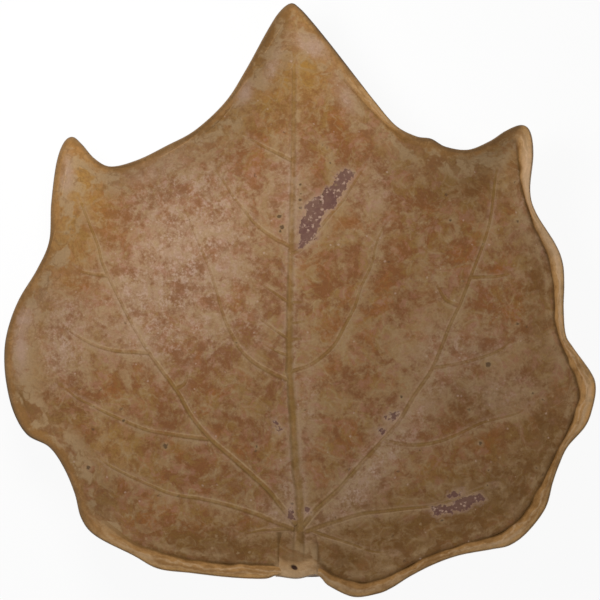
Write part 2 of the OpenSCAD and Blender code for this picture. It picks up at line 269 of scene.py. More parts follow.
def squared_ways(plan: np.ndarray, targets: np.ndarray) -> np.ndarray:
    """Squared distance of every point of plan from every target, which is never under zero."""
    ways = (plan ** 2).sum(1)[:, None] + (targets ** 2).sum(1)[None, :] - 2 * plan @ targets.T
    return np.maximum(ways, 1e-12)


@dataclass
class LeafForm:
    """Form of the whole leaf: its edge, its bowl and the margin that is pinched up.

    The lip's swells are places in the outline's table, each with the width that it gains
    there. The lip grows heavy as the share that the edge faces heavy_turn passes through
    heavy_fade, and light again as the share of the half length passes through tip_fade. The
    slab's rings go out from the hub.
    """

    slab: float = 6 * MM
    bowl_rise: float = 11 * MM
    margin_rise: float = 11 * MM
    margin_band: float = 36 * MM
    lip_narrow: float = 3.6 * MM
    lip_wide: float = 4.8 * MM
    lip_swells: tuple = (
        (31, 1.2 * MM), (40.5, -1.0 * MM), (51.5, -1.6 * MM), (54.5, 1.6 * MM), (58, 1.0 * MM),
        (60.5, -1.2 * MM), (65.3, 1.7 * MM),
    )
    swell_spread: float = 1.2
    heavy_turn: float = math.radians(-40)
    heavy_fade: tuple = (0.3, 0.85)
    tip_fade: tuple = (0.68, 0.8)
    hub_shares: tuple = (-0.2, -0.22)
    foot_share: float = 0.34
    steps: int = 20
    edge: np.ndarray = field(init=False)
    outward: np.ndarray = field(init=False)
    heavy: np.ndarray = field(init=False)
    seam: np.ndarray = field(init=False)
    half: np.ndarray = field(init=False)
    hub: np.ndarray = field(init=False)

    def __post_init__(self) -> None:
        """Works out the edge, the way out of it, and the seam between the slab and the lip."""
        low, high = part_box("rim_lip")
        self.half = np.array([high.x - low.x, high.y - low.y]) / 2
        self.hub = plan_of(self.hub_shares, self.half)
        self.edge = smooth_curve(plan_of(OUTLINE_SHARES, self.half), self.steps, closed=True)
        # The way out is square to a chord over five rows of the outline's table
        reach = self.steps * 5 // 2
        chord = np.roll(self.edge, -reach, axis=0) - np.roll(self.edge, reach, axis=0)
        turned = np.stack([chord[:, 1], -chord[:, 0]], axis=1)
        self.outward = turned / np.linalg.norm(turned, axis=1, keepdims=True)
        toward = np.array([math.cos(self.heavy_turn), math.sin(self.heavy_turn)])
        facing = (1 + self.outward @ toward) / 2
        width = self.lip_narrow + (self.lip_wide - self.lip_narrow) * facing
        place = np.arange(len(self.edge)) / self.steps
        for middle, more in self.lip_swells:
            width = width + more * np.exp(-((place - middle) / self.swell_spread) ** 2)
        # The seam is the inset edge, smoothed over three rows of the table
        inset = self.edge - self.outward * width[:, None]
        shifts = np.arange(-3, 4) * self.steps // 2
        self.seam = np.mean([np.roll(inset, -shift, axis=0) for shift in shifts], axis=0)
        near_tip = smoothstep(self.edge[:, 1] / self.half[1], *self.tip_fade)
        self.heavy = smoothstep(facing, *self.heavy_fade) * (1 - near_tip)

    def edge_reading(self, plan: np.ndarray) -> np.ndarray:
        """Way from a point to the leaf's edge, and how heavy the lip is at that side.

        Each short stretch of the edge pulls with its length over the fourth power of its
        distance, and the pull of a long straight edge at a distance d is pi / (2 d^3). The
        second value is the mean of the stretches' own, weighed by those pulls.

        Args:
            plan: Points as x and y.

        Returns:
            Two values for each point: the way to the edge, and 0 to 1 for the lip.
        """
        ahead = np.roll(self.edge, -2, axis=0)[::2] - self.edge[::2]
        length = np.linalg.norm(ahead, axis=1)

        def pull(block: np.ndarray) -> np.ndarray:
            """The way and the lip's side for some of the points."""
            pulls = length / squared_ways(block, self.edge[::2]) ** 2
            total = pulls.sum(1)
            return np.stack([(math.pi / 2 / total) ** (1 / 3), pulls @ self.heavy[::2] / total], 1)

        return in_blocks(pull, plan)

    def edge_gap(self, plan: np.ndarray) -> np.ndarray:
        """Way from each point to the leaf's edge."""
        return self.edge_reading(plan)[:, 0]

    def unevenness(self, plan: np.ndarray) -> np.ndarray:
        """Small rise and fall of a surface smoothed by hand: a sum of crossing sine waves.

        Each wave is its count a metre along x and y, its phase, and its height in millimetres.

        Args:
            plan: Points as x and y.

        Returns:
            The rise over each point.
        """
        parts = np.array([
            (14, 9, 0.3, 0.16), (-11, 17, 1.9, 0.14), (23, -6, 4.1, 0.11), (-19, -21, 2.6, 0.1),
            (31, 12, 5.2, 0.07), (8, -34, 0.9, 0.07), (43, -31, 3.3, 0.045), (-52, 18, 1.2, 0.04),
        ])
        phase = 2 * math.pi * plan @ parts[:, :2].T + parts[:, 2]
        return MM * (np.sin(phase) * parts[:, 3]).sum(1)

    def underside(self, plan: np.ndarray, gap: np.ndarray) -> np.ndarray:
        """Height of the underside.

        It is the square of the way out from the flat foot, times the bowl's rise, and the
        square of the share of the margin's band that is passed, times the margin's rise.

        Args:
            plan: Points as x and y.
            gap: Their ways to the edge.

        Returns:
            The height of the underside over each point.
        """
        out = np.linalg.norm(plan / self.half, axis=1)
        bowl = (np.maximum(0, out - self.foot_share) / (1 - self.foot_share)) ** 2
        margin = np.maximum(0, 1 - gap / self.margin_band) ** 2
        return self.bowl_rise * bowl + self.margin_rise * margin

    def top(self, plan: np.ndarray) -> np.ndarray:
        """Height of the slab's top over each point."""
        return self.underside(plan, self.edge_gap(plan)) + self.slab + self.unevenness(plan)


@dataclass(frozen=True)
class VeinSize:
    """Width and height of a vein at its start, and its painted line.

    The line's strength begins at strong and loses fades by the end. Its half width is the
    share spread of the strand's.
    """

    wide: float
    high: float
    strong: float
    fades: float
    spread: float


class VeinRank(Enum):
    """How strong a vein is."""

    MIDRIB = VeinSize(3.8 * MM, 1.1 * MM, 1.0, 0.5, 0.78)
    MAIN = VeinSize(3.2 * MM, 0.75 * MM, 1.0, 0.35, 0.42)
    BASAL = VeinSize(2.8 * MM, 0.6 * MM, 0.8, 0.25, 0.42)
    BRANCH = VeinSize(2.6 * MM, 0.5 * MM, 0.7, 0.2, 0.42)
    FINE = VeinSize(2.0 * MM, 0.34 * MM, 0.7, 0.2, 0.42)


@dataclass(frozen=True)
class VeinPlan:
    """One node of veins: the strands that it holds and their rank."""

    name: str
    rank: VeinRank
    routes: tuple


VEINS = (
    VeinPlan("midrib", VeinRank.MIDRIB, (MIDRIB_SHARES,)),
    VeinPlan("main_vein_left", VeinRank.MAIN, (MAIN_LEFT_SHARES,)),
    VeinPlan("main_vein_right", VeinRank.MAIN, (MAIN_RIGHT_SHARES,)),
    VeinPlan("basal_vein_left", VeinRank.BASAL, (BASAL_LEFT_SHARES,)),
    VeinPlan("basal_vein_right", VeinRank.BASAL, (BASAL_RIGHT_SHARES,)),
    VeinPlan("lower_vein_left", VeinRank.FINE, (LOWER_LEFT_SHARES,)),
    VeinPlan("lower_vein_right", VeinRank.FINE, (LOWER_RIGHT_SHARES,)),
    VeinPlan("branch_veins_left", VeinRank.BRANCH, BRANCH_LEFT_SHARES),
    VeinPlan("branch_veins_right", VeinRank.BRANCH, BRANCH_RIGHT_SHARES),
    VeinPlan("midrib_veins_left", VeinRank.BRANCH, MIDRIB_LEFT_SHARES),
    VeinPlan("midrib_veins_right", VeinRank.BRANCH, MIDRIB_RIGHT_SHARES),
    VeinPlan("fine_veins", VeinRank.FINE, FINE_SHARES),
)


class Tint(Enum):
    """Places where the glaze fired to another colour, and where light and shade are painted,
    each as x, y, long, wide, turn, strength.

    The first four are shares of the leaf's half width and half length, the turn is in
    degrees, and the strength goes from 0 to 1. HAZE is pale pooled glaze in part and a
    painted sheen and painted light in part, most over the upper left floor and the right lip.
    The dark greenish tint is darker glaze in part and painted shade in part, most toward the
    lower right.
    """

    # Pale haze: pooled glaze, with a painted sheen over the upper left and painted light on the
    # right lip
    HAZE = (
        (-0.37, 0.17, 0.22, 0.2, 90, 0.9), (-0.51, 0.0, 0.2, 0.14, 0, 0.55),
        (-0.42, -0.12, 0.22, 0.1, 0, 0.55), (-0.81, -0.14, 0.08, 0.15, 0, 0.85),
        (-0.03, 0.37, 0.07, 0.2, 0, 0.5), (0.25, 0.37, 0.08, 0.12, 0, 0.35),
        (0.52, -0.17, 0.16, 0.1, 0, 0.5), (0.34, -0.44, 0.26, 0.06, 50, 0.6),
        (0.69, -0.32, 0.12, 0.06, 10, 0.5), (-0.03, -0.64, 0.05, 0.12, 0, 0.6),
        (0.2, -0.67, 0.14, 0.05, 40, 0.5), (0.03, 0.86, 0.06, 0.03, -20, 1.0),
        (-0.09, 0.785, 0.06, 0.025, 70, 0.8), (-0.19, 0.7, 0.04, 0.025, 50, 0.9),
        (-0.945, -0.17, 0.022, 0.07, 0, 1.0), (-0.935, -0.06, 0.025, 0.035, -20, 1.0),
        (-0.15, -0.06, 0.03, 0.06, 0, 0.5), (-0.58, -0.03, 0.03, 0.16, 25, 0.7),
        (0.155, 0.67, 0.03, 0.08, 20, 0.7), (-0.36, 0.36, 0.2, 0.12, 0, 0.5),
        (0.215, -0.6, 0.18, 0.035, 47, 1.0), (-0.09, -0.72, 0.06, 0.025, -38, 0.8),
        (0.03, -0.34, 0.03, 0.14, 0, 0.6), (0.77, 0.42, 0.03, 0.13, 0, 0.8),
        (0.85, 0.2, 0.04, 0.12, 28, 0.6), (-0.79, 0.42, 0.022, 0.06, 0, 0.8),
    )
    OCHRE = (
        (-0.75, 0.37, 0.12, 0.24, 0, 1.0), (-0.81, 0.16, 0.07, 0.14, 0, 0.7),
        (-0.03, 0.79, 0.13, 0.16, 0, 1.0), (-0.12, 0.69, 0.1, 0.1, 0, 0.6),
        (-0.32, 0.555, 0.16, 0.05, 30, 0.6), (0.15, 0.74, 0.06, 0.12, 20, 0.35),
        (0.745, 0.455, 0.08, 0.12, 0, 0.6), (-0.63, -0.505, 0.1, 0.08, 0, 0.5),
        (-0.91, -0.17, 0.05, 0.2, 0, 0.5), (0.47, 0.5, 0.12, 0.04, 0, 0.4),
    )
    RUST = (
        (-0.73, 0.03, 0.1, 0.08, 0, 0.8), (-0.64, 0.25, 0.12, 0.12, 0, 0.6),
        (-0.19, 0.455, 0.16, 0.1, 0, 0.8), (0.12, 0.57, 0.1, 0.1, 0, 0.8),
        (-0.2, 0.03, 0.08, 0.16, 0, 0.4), (-0.46, -0.29, 0.2, 0.08, -10, 0.6),
        (0.1, 0.0, 0.08, 0.2, 0, 0.3), (0.41, 0.17, 0.14, 0.2, 0, 0.6),
        (0.68, 0.0, 0.12, 0.12, 0, 0.9), (-0.3, -0.57, 0.2, 0.1, -30, 0.4),
        (-0.44, -0.775, 0.2, 0.06, 0, 0.6), (0.54, -0.47, 0.2, 0.06, 10, 0.6),
    )
    # Dark tint: darker glaze, with painted shade toward the lower right and by the tip
    OLIVE = (
        (0.575, 0.39, 0.16, 0.1, 0, 0.5), (0.81, 0.03, 0.06, 0.2, 0, 0.7),
        (0.83, -0.47, 0.1, 0.16, 0, 0.9), (0.66, -0.67, 0.24, 0.13, 30, 0.95),
        (0.34, -0.8, 0.22, 0.14, 0, 0.9), (0.15, -0.875, 0.1, 0.1, 0, 0.9),
        (0.0, -0.82, 0.12, 0.11, 0, 0.95), (-0.27, -0.83, 0.26, 0.07, 0, 0.8),
        (0.26, -0.97, 0.18, 0.05, 0, 0.95), (0.6, -0.35, 0.16, 0.1, 0, 0.4),
        (-0.81, -0.4, 0.08, 0.1, 0, 0.4), (-0.64, -0.7, 0.08, 0.08, 0, 0.3),
        (-0.12, 0.87, 0.15, 0.03, 59, 0.9), (-0.94, -0.34, 0.06, 0.02, -60, 0.8),
        (-0.35, 0.56, 0.14, 0.014, 27, 0.7), (0.9, 0.02, 0.015, 0.1, 0, 0.6),
    )


@dataclass
class SurfaceMarks:
    """What the finishes need to know about each point of the clay, for any point of the plan."""

    form: LeafForm
    # Shift of the painted light beside the veins, toward their lower right side
    lit_side_shift: tuple = (1.5 * MM, -1.3 * MM)
    steps: int = 14
    stem_steps: int = 30
    midrib_full: float = 0.42
    midrib_fading: float = 0.25
    strands: list = field(init=False)

    def __post_init__(self) -> None:
        """Lays a row of points about a millimetre apart along every strand of vein."""
        self.strands = []
        for vein in VEINS:
            for route in vein.routes:
                line = smooth_curve(plan_of(route, self.form.half), self.steps, closed=False)
                width = vein_width(vein.rank.value.wide, np.linspace(0, 1, len(line)))
                self.strands.append((line, width / 2))

    def vein_gap(self, plan: np.ndarray) -> np.ndarray:
        """Way from each point to the nearest vein's foot, which is below zero on the vein."""
        points = np.concatenate([line for line, _ in self.strands])
        radii = np.concatenate([radius for _, radius in self.strands])

        def nearest(block: np.ndarray) -> np.ndarray:
            """Least way from each point to a vein's foot."""
            return (np.sqrt(squared_ways(block, points)) - radii).min(1)

        return in_blocks(nearest, plan)

    def midrib_gap(self, plan: np.ndarray) -> np.ndarray:
        """Way from each point to the midrib's foot.

        It grows past the vein's start, and by midrib_fading of the way past the share
        midrib_full of the half length.

        Args:
            plan: Points as x and y.

        Returns:
            The way for each point.
        """
        line, radius = self.strands[0]
        middle = np.interp(plan[:, 1], line[:, 1], line[:, 0])
        wide = np.interp(plan[:, 1], line[:, 1], radius)
        beyond = self.midrib_fading * (plan[:, 1] - self.midrib_full * self.form.half[1])
        past = np.maximum(np.maximum(beyond, line[0, 1] - plan[:, 1]), 0)
        return np.hypot(plan[:, 0] - middle, past) - wide

    def stem_gap(self, plan: np.ndarray) -> np.ndarray:
        """Way from each point to the nearest line beside the tongue."""
        lines = [smooth_curve(plan_of(route, self.form.half), self.stem_steps, closed=False)
                 for route in STEM_LINE_SHARES]
        points = np.concatenate(lines)
        return in_blocks(lambda block: np.sqrt(squared_ways(block, points)).min(1), plan)

    def tint(self, plan: np.ndarray, tint: Tint) -> np.ndarray:
        """Strength of a tint: soft ellipses that fade as exp(-r^2) and join smoothly."""
        left = np.ones(len(plan))
        for x, y, long, wide, turn, strength in tint.value:
            away = plan / self.form.half - (x, y)
            c, s = math.cos(math.radians(turn)), math.sin(math.radians(turn))
            r2 = ((away @ (c, s)) / long) ** 2 + ((away @ (-s, c)) / wide) ** 2
            left *= 1 - strength * np.exp(-r2)
        return 1 - left

    def bare_gap(self, plan: np.ndarray) -> np.ndarray:
        """Way from each point to the nearest bare patch, which is below zero inside it.

        The way to an outline is the least way to one of its sides, and a point is inside
        when a line to its right crosses the sides an odd number of times.

        Args:
            plan: Points as x and y.

        Returns:
            The signed way for each point.
        """
        found = np.full(len(plan), np.inf)
        for shares in BARE_PATCH_SHARES:
            a = plan_of(shares, self.form.half)
            b = np.roll(a, -1, axis=0)
            side = b - a
            away = plan[:, None, :] - a[None]
            t = np.clip((away * side).sum(2) / (side ** 2).sum(1), 0, 1)
            way = np.linalg.norm(away - t[..., None] * side, axis=2).min(1)
            over = (a[None, :, 1] > plan[:, 1:]) != (b[None, :, 1] > plan[:, 1:])
            rise = np.where(side[:, 1] == 0, 1, side[:, 1])
            crossing = a[:, 0] + away[..., 1] * side[:, 0] / rise
            inside = (over & (plan[:, :1] < crossing)).sum(1) % 2 == 1
            found = np.minimum(found, np.where(inside, -way, way))
        return found

    def all(self, plan: np.ndarray) -> dict[str, np.ndarray]:
        """Every mark of each point.

        Args:
            plan: Points as x and y.

        Returns:
            Arrays by the name that the finishes read.
        """
        edge_gap, heavy = self.form.edge_reading(plan).T
        marks = {
            "edge_gap": edge_gap,
            "heavy": heavy,
            "vein_gap": self.vein_gap(plan),
            "midrib_gap": self.midrib_gap(plan),
            "pool_gap": self.vein_gap(plan - self.lit_side_shift),
            "bare_gap": self.bare_gap(plan),
            "stem_gap": self.stem_gap(plan),
        }
        for tint in Tint:
            marks[tint.name.lower()] = self.tint(plan, tint)
        return marks


def vein_width(start: float, along: np.ndarray) -> np.ndarray:
    """Width of a vein, which narrows evenly to under half of its start."""
    return start * (1 - VEIN_TAPER * along)


def triangles(rows: int, across: int) -> np.ndarray:
    """Faces of a tube of rows rings of across points, closed by a fan at each end.

    The points are numbered ring by ring, and the two end points come last.

    Args:
        rows: How many rings there are.
        across: How many points a ring has.

    Returns:
        Corner numbers, one triangle a row.
    """
    r, k = np.meshgrid(np.arange(rows - 1), np.arange(across), indexing="ij")
    a, b = (r * across + k).ravel(), (r * across + (k + 1) % across).ravel()
    c, d = b + across, a + across
    ring = np.arange(across)
    after = (ring + 1) % across
    first, last = np.full(across, rows * across), np.full(across, rows * across + 1)
    end = (rows - 1) * across
    return np.concatenate([
        np.stack([a, b, c], 1), np.stack([a, c, d], 1),
        np.stack([first, after, ring], 1), np.stack([last, ring + end, after + end], 1),
    ])


@dataclass
class Shell:
    """A closed surface: rings of points with a pole at each end, and marks on its points."""

    rings: np.ndarray
    first_pole: np.ndarray
    last_pole: np.ndarray
    marks: dict[str, np.ndarray]

    def points(self) -> np.ndarray:
        """All points, ring by ring, and then the two poles."""
        poles = [self.first_pole[None], self.last_pole[None]]
        return np.concatenate([self.rings.reshape(-1, 3), *poles])

    def faces(self) -> np.ndarray:
        """All triangles, turned so that they point out of the volume that they close."""
        points = self.points()
        faces = triangles(*self.rings.shape[:2])
        a, b, c = (points[faces[:, i]] for i in range(3))
        volume = (a * np.cross(b, c)).sum()
        return faces if volume > 0 else faces[:, ::-1]


def capped(rings: np.ndarray, marks: dict[str, np.ndarray]) -> Shell:
    """Closes rings at the middle of the first and the last of them.

    Args:
        rings: Rings of points.
        marks: Marks on their points.

    Returns:
        The shell, whose poles take the marks of the first and the last point.
    """
    marks = {name: np.append(values, values[[0, -1]]) for name, values in marks.items()}
    return Shell(rings, rings[0].mean(0), rings[-1].mean(0), marks)


def link(name: str, data: bpy.types.ID) -> bpy.types.Object:
    """Makes an object of its data and puts it in the scene."""
    made = bpy.data.objects.new(name, data)
    bpy.context.scene.collection.objects.link(made)
    return made


def make_piece(name: str, shells: Sequence[Shell]) -> bpy.types.Object:
    """Makes one object from closed shells, with every mark as an attribute of its points.

    Args:
        name: The piece's name.
        shells: Its shells, all with the same marks.

    Returns:
        The object, at the origin, with smooth faces.
    """
    points = np.concatenate([shell.points() for shell in shells])
    starts = np.cumsum([0] + [len(shell.points()) for shell in shells[:-1]])
    faces = np.concatenate([shell.faces() + start for shell, start in zip(shells, starts)])
    mesh = bpy.data.meshes.new(name)
    mesh.vertices.add(len(points))
    mesh.vertices.foreach_set("co", points.astype(np.float32).ravel())
    mesh.loops.add(faces.size)
    mesh.loops.foreach_set("vertex_index", faces.astype(np.int32).ravel())
    mesh.polygons.add(len(faces))
    mesh.polygons.foreach_set("loop_start", np.arange(0, faces.size, 3, dtype=np.int32))
    mesh.update(calc_edges=True)
    mesh.shade_smooth()
    for mark in shells[0].marks:
        values = np.concatenate([shell.marks[mark] for shell in shells])
        attribute = mesh.attributes.new(mark, "FLOAT", "POINT")
        attribute.data.foreach_set("value", values.astype(np.float32))
    return link(name, mesh)


def waves(parts: Sequence[Sequence[float]], passed: np.ndarray) -> np.ndarray:
    """Sum of sine waves, each a size, a length over 2 pi and a phase, along a way passed."""
    return sum(size * np.sin(passed / length + phase) for size, length, phase in parts)


def with_height(plan: np.ndarray, height: np.ndarray) -> np.ndarray:
    """Joins x and y with z, over any shape of grid."""
    return np.concatenate([plan, height[..., None]], axis=-1)


class Wire:
    """An output of a node. Arithmetic on it adds Math nodes."""

    def __init__(self, graph: "Graph", socket: bpy.types.NodeSocket) -> None:
        """Keeps the graph and the output that it stands for."""
        self.graph = graph
        self.socket = socket

    def __add__(self, other: Value) -> "Wire":
        """The sum of two values."""
        return self.graph.math("ADD", self, other)

    def __sub__(self, other: Value) -> "Wire":
        """The difference of two values."""
        return self.graph.math("SUBTRACT", self, other)

    def __rsub__(self, other: Value) -> "Wire":
        """A number less this value."""
        return self.graph.math("SUBTRACT", other, self)

    def __mul__(self, other: Value) -> "Wire":
        """The product of two values."""
        return self.graph.math("MULTIPLY", self, other)

    def __abs__(self) -> "Wire":
        """The value without its sign."""
        return self.graph.math("ABSOLUTE", self)

    __radd__ = __add__
    __rmul__ = __mul__


class Graph:
    """The nodes of one material, or of the world."""

    def __init__(self, tree: bpy.types.NodeTree) -> None:
        """Keeps the tree and empties it."""
        self.tree = tree
        tree.nodes.clear()

    def node(self, kind: str, settings: dict, sockets: dict) -> bpy.types.Node:
        """Adds a node of any type.

        Args:
            kind: The node's type.
            settings: Its own settings, such as an operation.
            sockets: Values or wires for its inputs, by name or number.

        Returns:
            The new node.
        """
        made = self.tree.nodes.new(kind)
        for name, value in settings.items():
            setattr(made, name, value)
        for name, value in sockets.items():
            if isinstance(value, Wire):
                self.tree.links.new(value.socket, made.inputs[name])
            else:
                made.inputs[name].default_value = value
        return made

    def out(self, kind: str, settings: dict, sockets: dict, output: Union[str, int] = 0) -> Wire:
        """Adds a node and returns one of its outputs as a wire."""
        return Wire(self, self.node(kind, settings, sockets).outputs[output])

    def math(self, operation: str, *values: Value) -> Wire:
        """Adds a Math node on one to three values."""
        return self.out("ShaderNodeMath", {"operation": operation}, dict(enumerate(values)))

    def vector(self, operation: str, *values: Value) -> Wire:
        """Adds a Vector Math node on vectors."""
        return self.out("ShaderNodeVectorMath", {"operation": operation}, dict(enumerate(values)))

    def place(self) -> Wire:
        """The object's own coordinates, which are the plate's frame."""
        return self.out("ShaderNodeTexCoord", {}, {}, "Object")

    def mark(self, name: str) -> Wire:
        """A mark on the piece's points."""
        return self.out("ShaderNodeAttribute", {"attribute_name": name}, {}, "Fac")

    def step(self, value: Wire, start: float, end: float, low: float = 0, high: float = 1) -> Wire:
        """Smooth change from low at start to high at end."""
        sockets = {0: value, 1: start, 2: end, 3: low, 4: high}
        return self.out("ShaderNodeMapRange", {"interpolation_type": "SMOOTHSTEP"}, sockets)

    def noise(self, where: Wire, size: float, detail: float = 2, rough: float = 0.5,
              output: str = "Fac") -> Wire:
        """Cloudy noise whose largest lumps are about size across."""
        sockets = {"Vector": where, "Scale": 1 / size, "Detail": detail, "Roughness": rough}
        return self.out("ShaderNodeTexNoise", {}, sockets, output)

    def cells(self, where: Wire, size: float, feature: str, output: str = "Distance") -> Wire:
        """Cells about size across, by a feature such as their middle or their edge."""
        sockets = {"Vector": where, "Scale": 1 / size}
        return self.out("ShaderNodeTexVoronoi", {"feature": feature}, sockets, output)

    def blend(self, share: Value, low: Value, high: Value, mode: str = "MIX") -> Wire:
        """Mixes two colours by a share."""
        settings = {"data_type": "RGBA", "blend_type": mode, "clamp_factor": True}
        return self.out("ShaderNodeMix", settings, {0: share, 6: low, 7: high}, 2)

    def bump(self, height: Wire) -> Wire:
        """Turns a height in metres into a normal."""
        return self.out("ShaderNodeBump", {}, {"Strength": 1.0, "Distance": 1.0, "Height": height})

    def seen(self) -> Wire:
        """1 for a ray that the camera, gloss or glass sees by, and 0 for one that only lights."""
        rays = self.node("ShaderNodeLightPath", {}, {})
        kinds = ("Is Camera Ray", "Is Glossy Ray", "Is Transmission Ray")
        total = sum((Wire(self, rays.outputs[kind]) for kind in kinds), 0.0)
        return self.math("MINIMUM", total, 1.0)


def rgb(red: int, green: int, blue: int) -> tuple[float, float, float, float]:
    """A colour as it looks on a screen, 0 to 255, turned into the linear values of a shader."""
    shares = (channel / 255 for channel in (red, green, blue))
    linear = [s / 12.92 if s <= 0.04045 else ((s + 0.055) / 1.055) ** 2.4 for s in shares]
    return (*linear, 1.0)


def new_material(name: str) -> tuple[bpy.types.Material, Graph]:
    """Makes an empty material and the graph that fills it."""
    material = bpy.data.materials.new(name)
    material.use_nodes = True
    return material, Graph(material.node_tree)


@dataclass(frozen=True)
class GlazeCoat:
    """The glassy skin of a fired glaze, the same over all glazed clay."""

    rough: float = 0.52
    rough_less: float = 0.08
    rough_more: float = 0.1
    rough_bare: float = 0.8
    specular: float = 0.14
    coat: float = 0.12
    coat_rough: float = 0.2

    def finish(self, graph: Graph, color: Wire, bare: Wire, height: Wire, patchy: Wire) -> None:
        """Adds the shader.

        Args:
            graph: The material's nodes.
            color: Base colour.
            bare: 1 where the clay is bare.
            height: Relief in metres.
            patchy: Noise that varies the gloss.
        """
        rough = graph.step(patchy, 0.3, 0.7, self.rough - self.rough_less,
                           self.rough + self.rough_more)
        shader = graph.out("ShaderNodeBsdfPrincipled", {}, {
            "Base Color": color,
            "Roughness": rough + bare * (self.rough_bare - self.rough),
            "Specular IOR Level": self.specular,
            "Coat Weight": (1 - bare) * self.coat,
            "Coat Roughness": self.coat_rough,
            "Normal": graph.bump(height),
        })
        graph.node("ShaderNodeOutputMaterial", {}, {"Surface": shader})


# Small round flaws in the glaze: x and y as shares, and the radius in millimetres
SPOTS = (
    (-0.459, -0.495, 1.2), (-0.718, -0.566, 0.8), (-0.701, -0.36, 0.6), (-0.6, -0.408, 0.5),
    (-0.217, -0.145, 0.5), (-0.146, -0.498, 0.7), (-0.071, 0.283, 0.8), (-0.061, 0.248, 0.9),
    (-0.066, 0.233, 0.6), (0.001, 0.338, 0.8), (0.002, 0.312, 0.5), (0.004, 0.36, 0.4),
    (0.0, 0.391, 0.6), (0.31, -0.39, 1.0), (0.325, -0.386, 0.8), (0.27, -0.445, 0.7),
    (0.345, -0.33, 0.6), (0.64, -0.219, 1.0), (0.789, -0.316, 0.7), (0.825, -0.336, 0.8),
    (-0.08, -0.438, 0.9), (-0.027, -0.69, 1.0), (-0.025, -0.715, 0.9), (0.037, -0.72, 0.7),
    (0.738, -0.081, 0.5), (0.51, 0.269, 0.5), (-0.068, 0.952, 0.9), (-0.108, 0.885, 0.7),
    (0.077, 0.525, 0.4), (0.091, 0.515, 0.5), (0.108, 0.495, 0.35), (0.104, 0.464, 0.4),
    (0.111, 0.451, 0.35), (0.18, 0.431, 0.5), (0.614, -0.484, 0.6), (0.642, -0.574, 0.5),
    (0.801, -0.567, 0.4), (0.822, -0.57, 0.4), (0.636, -0.627, 0.4), (0.483, -0.745, 0.5),
    (0.458, -0.718, 0.4), (0.737, 0.267, 0.5), (0.729, 0.4, 0.4), (0.622, 0.19, 0.4),
)


@dataclass(frozen=True)
class GlazePalette:
    """Colours of the glaze where it lies thick, thin, pooled or worn, and of the clay.

    Some paint light and shade instead: the lip's lit face, grey reflection, lighter outer side
    and highlights, the veins' shine and the shade down their flank, and shade in creases and
    at the edge.
    """

    rust: tuple = rgb(128, 84, 50)
    opal: tuple = rgb(154, 120, 82)
    orange: tuple = rgb(146, 92, 44)
    moss: tuple = rgb(144, 110, 58)
    rose: tuple = rgb(158, 114, 90)
    haze: tuple = rgb(178, 147, 125)
    milk: tuple = rgb(198, 171, 155)
    ochre: tuple = rgb(164, 122, 54)
    # Dark tint: darker glaze in part, painted shade in part
    olive: tuple = rgb(103, 70, 25)
    pool: tuple = rgb(166, 138, 102)
    crest: tuple = rgb(144, 112, 62)
    rib: tuple = rgb(138, 107, 56)
    # Painted shade down a vein's left flank, and the dark rails on the stem stub
    groove: tuple = rgb(102, 75, 36)
    # Painted highlight along the veins
    shine: tuple = rgb(178, 148, 108)
    clay: tuple = rgb(108, 76, 71)
    fleck: tuple = rgb(190, 160, 140)
    seed: tuple = rgb(88, 66, 44)
    pit: tuple = rgb(56, 38, 30)
    raw: tuple = rgb(122, 90, 76)
    gold: tuple = rgb(164, 121, 70)
    tan: tuple = rgb(174, 136, 90)
    # Painted light on the lip's inner face
    glow: tuple = rgb(200, 154, 98)
    # Painted reflection: grey on the lip's outer half
    painted_reflection_gray: tuple = rgb(184, 156, 120)
    # Painted light: lighter colour for the lip's outer half
    painted_light_amber: tuple = rgb(216, 168, 104)
    # Painted highlights and painted light on the lip
    pale: tuple = rgb(214, 184, 146)
    brown: tuple = rgb(126, 90, 48)
    # Dark glaze and painted shade in creases and pressed lines
    crease: tuple = rgb(92, 64, 28)
    # Painted shade along the plate's edge
    outer: tuple = rgb(84, 70, 54)
    grain_dark: tuple = rgb(48, 50, 54)
    grain_light: tuple = rgb(208, 204, 198)
    grain_share: float = 0.42


